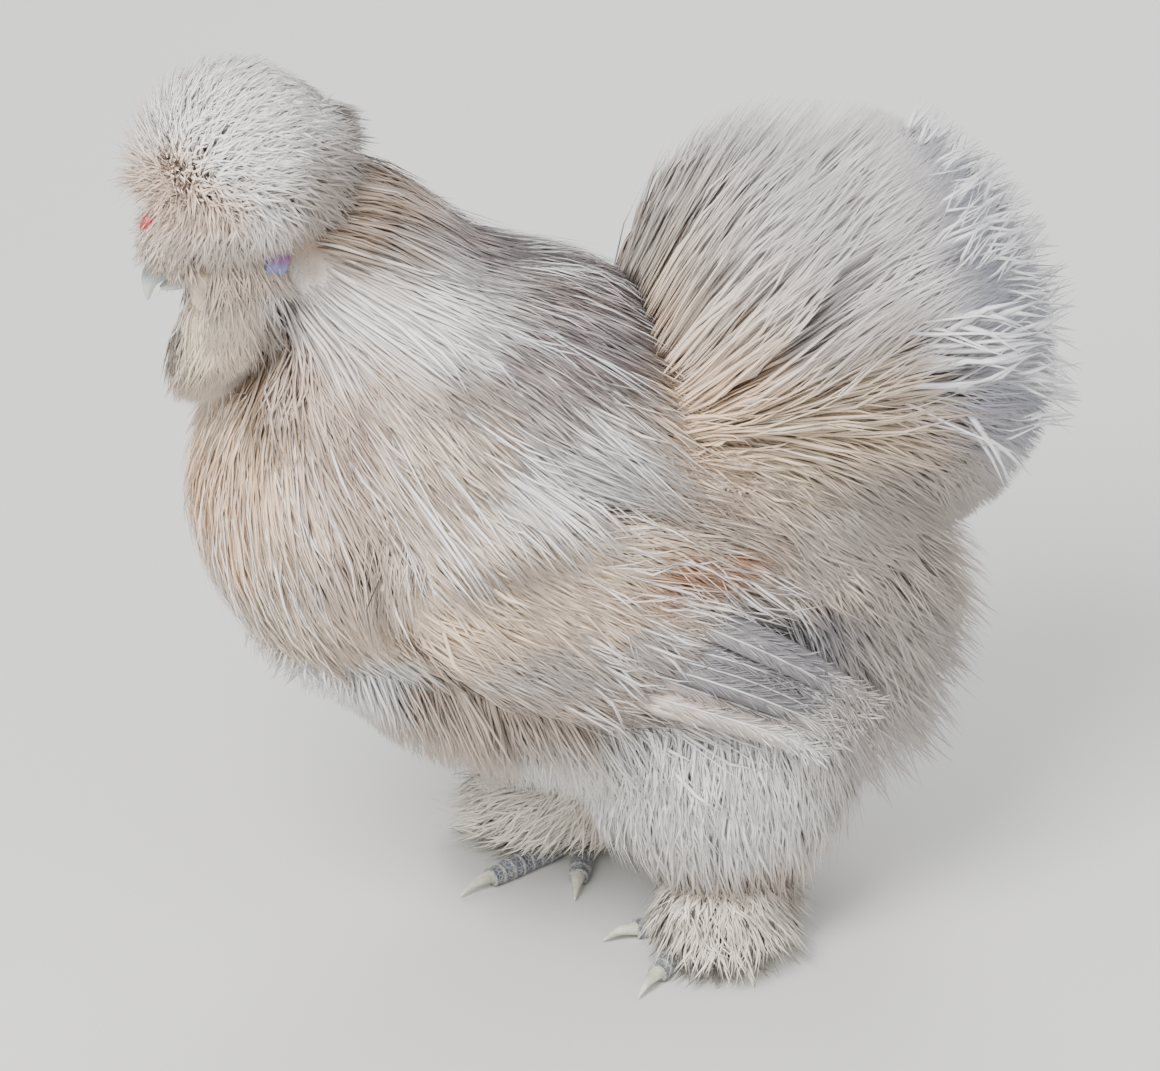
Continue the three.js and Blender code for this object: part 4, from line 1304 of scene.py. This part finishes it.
def dress_trunk(side):
    """One side of the neck and body."""
    label = side_name(side)
    dress(f"hackle_{label}", "trunk", "hackle", from_pole, 14 + side, on_half(side, neck_takes), BODY,
          over_wing, hackle_grade, shared("neck", side))
    dress(f"streamers_{label}", "trunk", "streamers", from_pole, 44 + side, on_half(side, streamer_takes),
          BODY, over_wing, hackle_grade)
    dress(f"saddle_plumes_{label}", "trunk", "saddle", saddle_way, 47 + side, on_half(side, saddle_takes),
          reach=rump_reach)
    dress(f"belly_plumes_{label}", "trunk", "belly", belly_way, 51 + side, on_half(side, belly_takes),
          reach=belly_reach)
    dress(f"rump_plumes_{label}", "trunk", "rump", rump_way, 57 + side, on_half(side, rump_takes))
    dress(f"tail_foot_{label}", "trunk", "tail_foot", tail_way, 37 + side, on_half(side, tail_foot_takes),
          reach=tail_reach)
    dress(f"body_plumes_{label}", "trunk", "body", backwards, 17 + side, on_half(side, body_takes), BODY,
          off_wings, nodes=shared("torso", side))


def dress_tail(side):
    """One side of the cushion tail."""
    dress(f"tail_plumes_{side_name(side)}", "cushion", "tail", tail_way, 31 + side, on_half(side),
          reach=tail_reach, nodes=shared("tail", side))


def dress_limbs(side):
    """A wing, a thigh and a foot."""
    label = side_name(side)
    wing, thigh, plume = f"wing_{label}", f"thigh_{label}", f"plume_{label}"
    wing_middle = on_side(WING["centre"], side)
    dress(f"wing_plumes_{label}", wing, "wing", wing_way, 20 + side, off_vanes, nodes=[wing],
          middle=wing_middle)
    dress(f"wing_wisps_{label}", wing, "wisps", wing_way, 54 + side, wisp_takes, middle=wing_middle)
    flight_feathers(side)
    dress(f"thigh_plumes_{label}", thigh, "thigh", leg_way, 23 + side, nodes=[thigh],
          middle=(10, side * HIP_WIDTH, THIGH_HEIGHT))
    dress(f"foot_plumes_{label}", plume, "plume", plume_way(side), 26 + side, plume_takes(side),
          nodes=[plume], middle=fluff_centre(side, 0.2, 24))


skin = make_piece("skin", skin_vertices, [skin_quads], "plumage", ["head"])
skin.data.materials.append(skin_material())
make_comb()
make_beak()
make_eyes()
make_lobes()
make_feet()
plumage = plumage_material()
dress("crest_plumes", "crown", "crest", crest_way, 11, crest_takes, reach=crest_reach, grade=crest_grade,
      nodes=["crest"])
dress("face_plumes", "skull", "face", beard_way, 12, face_takes, grade=face_grade)
dress("beard_plumes", "throat", "beard", beard_way, 13, beard_takes, reach=beard_reach, nodes=["beard"])
dress("throat_plumes", "throat", "throat", from_pole, 10, throat_takes, BODY)
for each in SIDES:
    dress_trunk(each)
    dress_limbs(each)
    dress_tail(each)
dress("tail_ribbons", "cushion", "ribbons", ribbon_way, 35, ribbon_takes, reach=ribbon_reach)


# Floor, light and camera
def make_stage():
    """A plain pale floor, soft light from above and both sides, and a pale sky."""
    mesh = bpy.data.meshes.new("floor")
    corners = [(x * FLOOR_REACH, y * FLOOR_REACH, 0) for x, y in ((-1, -1), (1, -1), (1, 1), (-1, 1))]
    mesh.from_pydata(corners, [], [(0, 1, 2, 3)])
    floor = bpy.data.objects.new("floor", mesh)
    bpy.context.scene.collection.objects.link(floor)
    paint = Paint("floor_finish", roughness=0.85, base_color=tint("cfcdc9"))
    mesh.materials.append(paint.material)
    for name, place, size, power in LIGHTS:
        light = bpy.data.lights.new(name, "AREA")
        light.size = size
        light.energy = power
        lamp = bpy.data.objects.new(name, light)
        lamp.location = place
        aim = Vector((0, 0, 0.15)) - Vector(place)
        lamp.rotation_euler = aim.to_track_quat("-Z", "Y").to_euler()
        bpy.context.scene.collection.objects.link(lamp)
    world = bpy.data.worlds.new("sky")
    world.use_nodes = True
    world.node_tree.nodes["Background"].inputs["Color"].default_value = tint("e9edf2")
    world.node_tree.nodes["Background"].inputs["Strength"].default_value = 1.0
    bpy.context.scene.world = world


def make_camera():
    """The photograph's camera, set so that the reference point is seen at the reference pixel."""
    azimuth, elevation = math.radians(CAMERA["azimuth"]), math.radians(CAMERA["elevation"])
    back = np.array([math.sin(azimuth) * math.cos(elevation), -math.cos(azimuth) * math.cos(elevation),
                     math.sin(elevation)])
    right = np.array([math.cos(azimuth), math.sin(azimuth), 0])
    up = np.cross(back, right)
    aside = (PICTURE[0] / 2 - REFERENCE_PIXEL[0]) * CAMERA["mm_per_pixel"]
    below = (PICTURE[1] / 2 - REFERENCE_PIXEL[1]) * CAMERA["mm_per_pixel"]
    target = np.array(REFERENCE_POINT) + right * aside - up * below
    data = bpy.data.cameras.new("camera")
    data.sensor_width = CAMERA["sensor"]
    data.lens = CAMERA["sensor"] * CAMERA["distance"] / (PICTURE[0] * CAMERA["mm_per_pixel"])
    data.clip_start, data.clip_end = 0.05, 50
    camera = bpy.data.objects.new("camera", data)
    columns = np.stack([right, up, back], axis=1)
    turn = Matrix(columns.tolist()).to_4x4()
    stand = in_place(target + back * CAMERA["distance"])
    camera.matrix_world = Matrix.Translation(Vector(stand)) @ turn
    bpy.context.scene.collection.objects.link(camera)
    bpy.context.scene.camera = camera


make_stage()
make_camera()
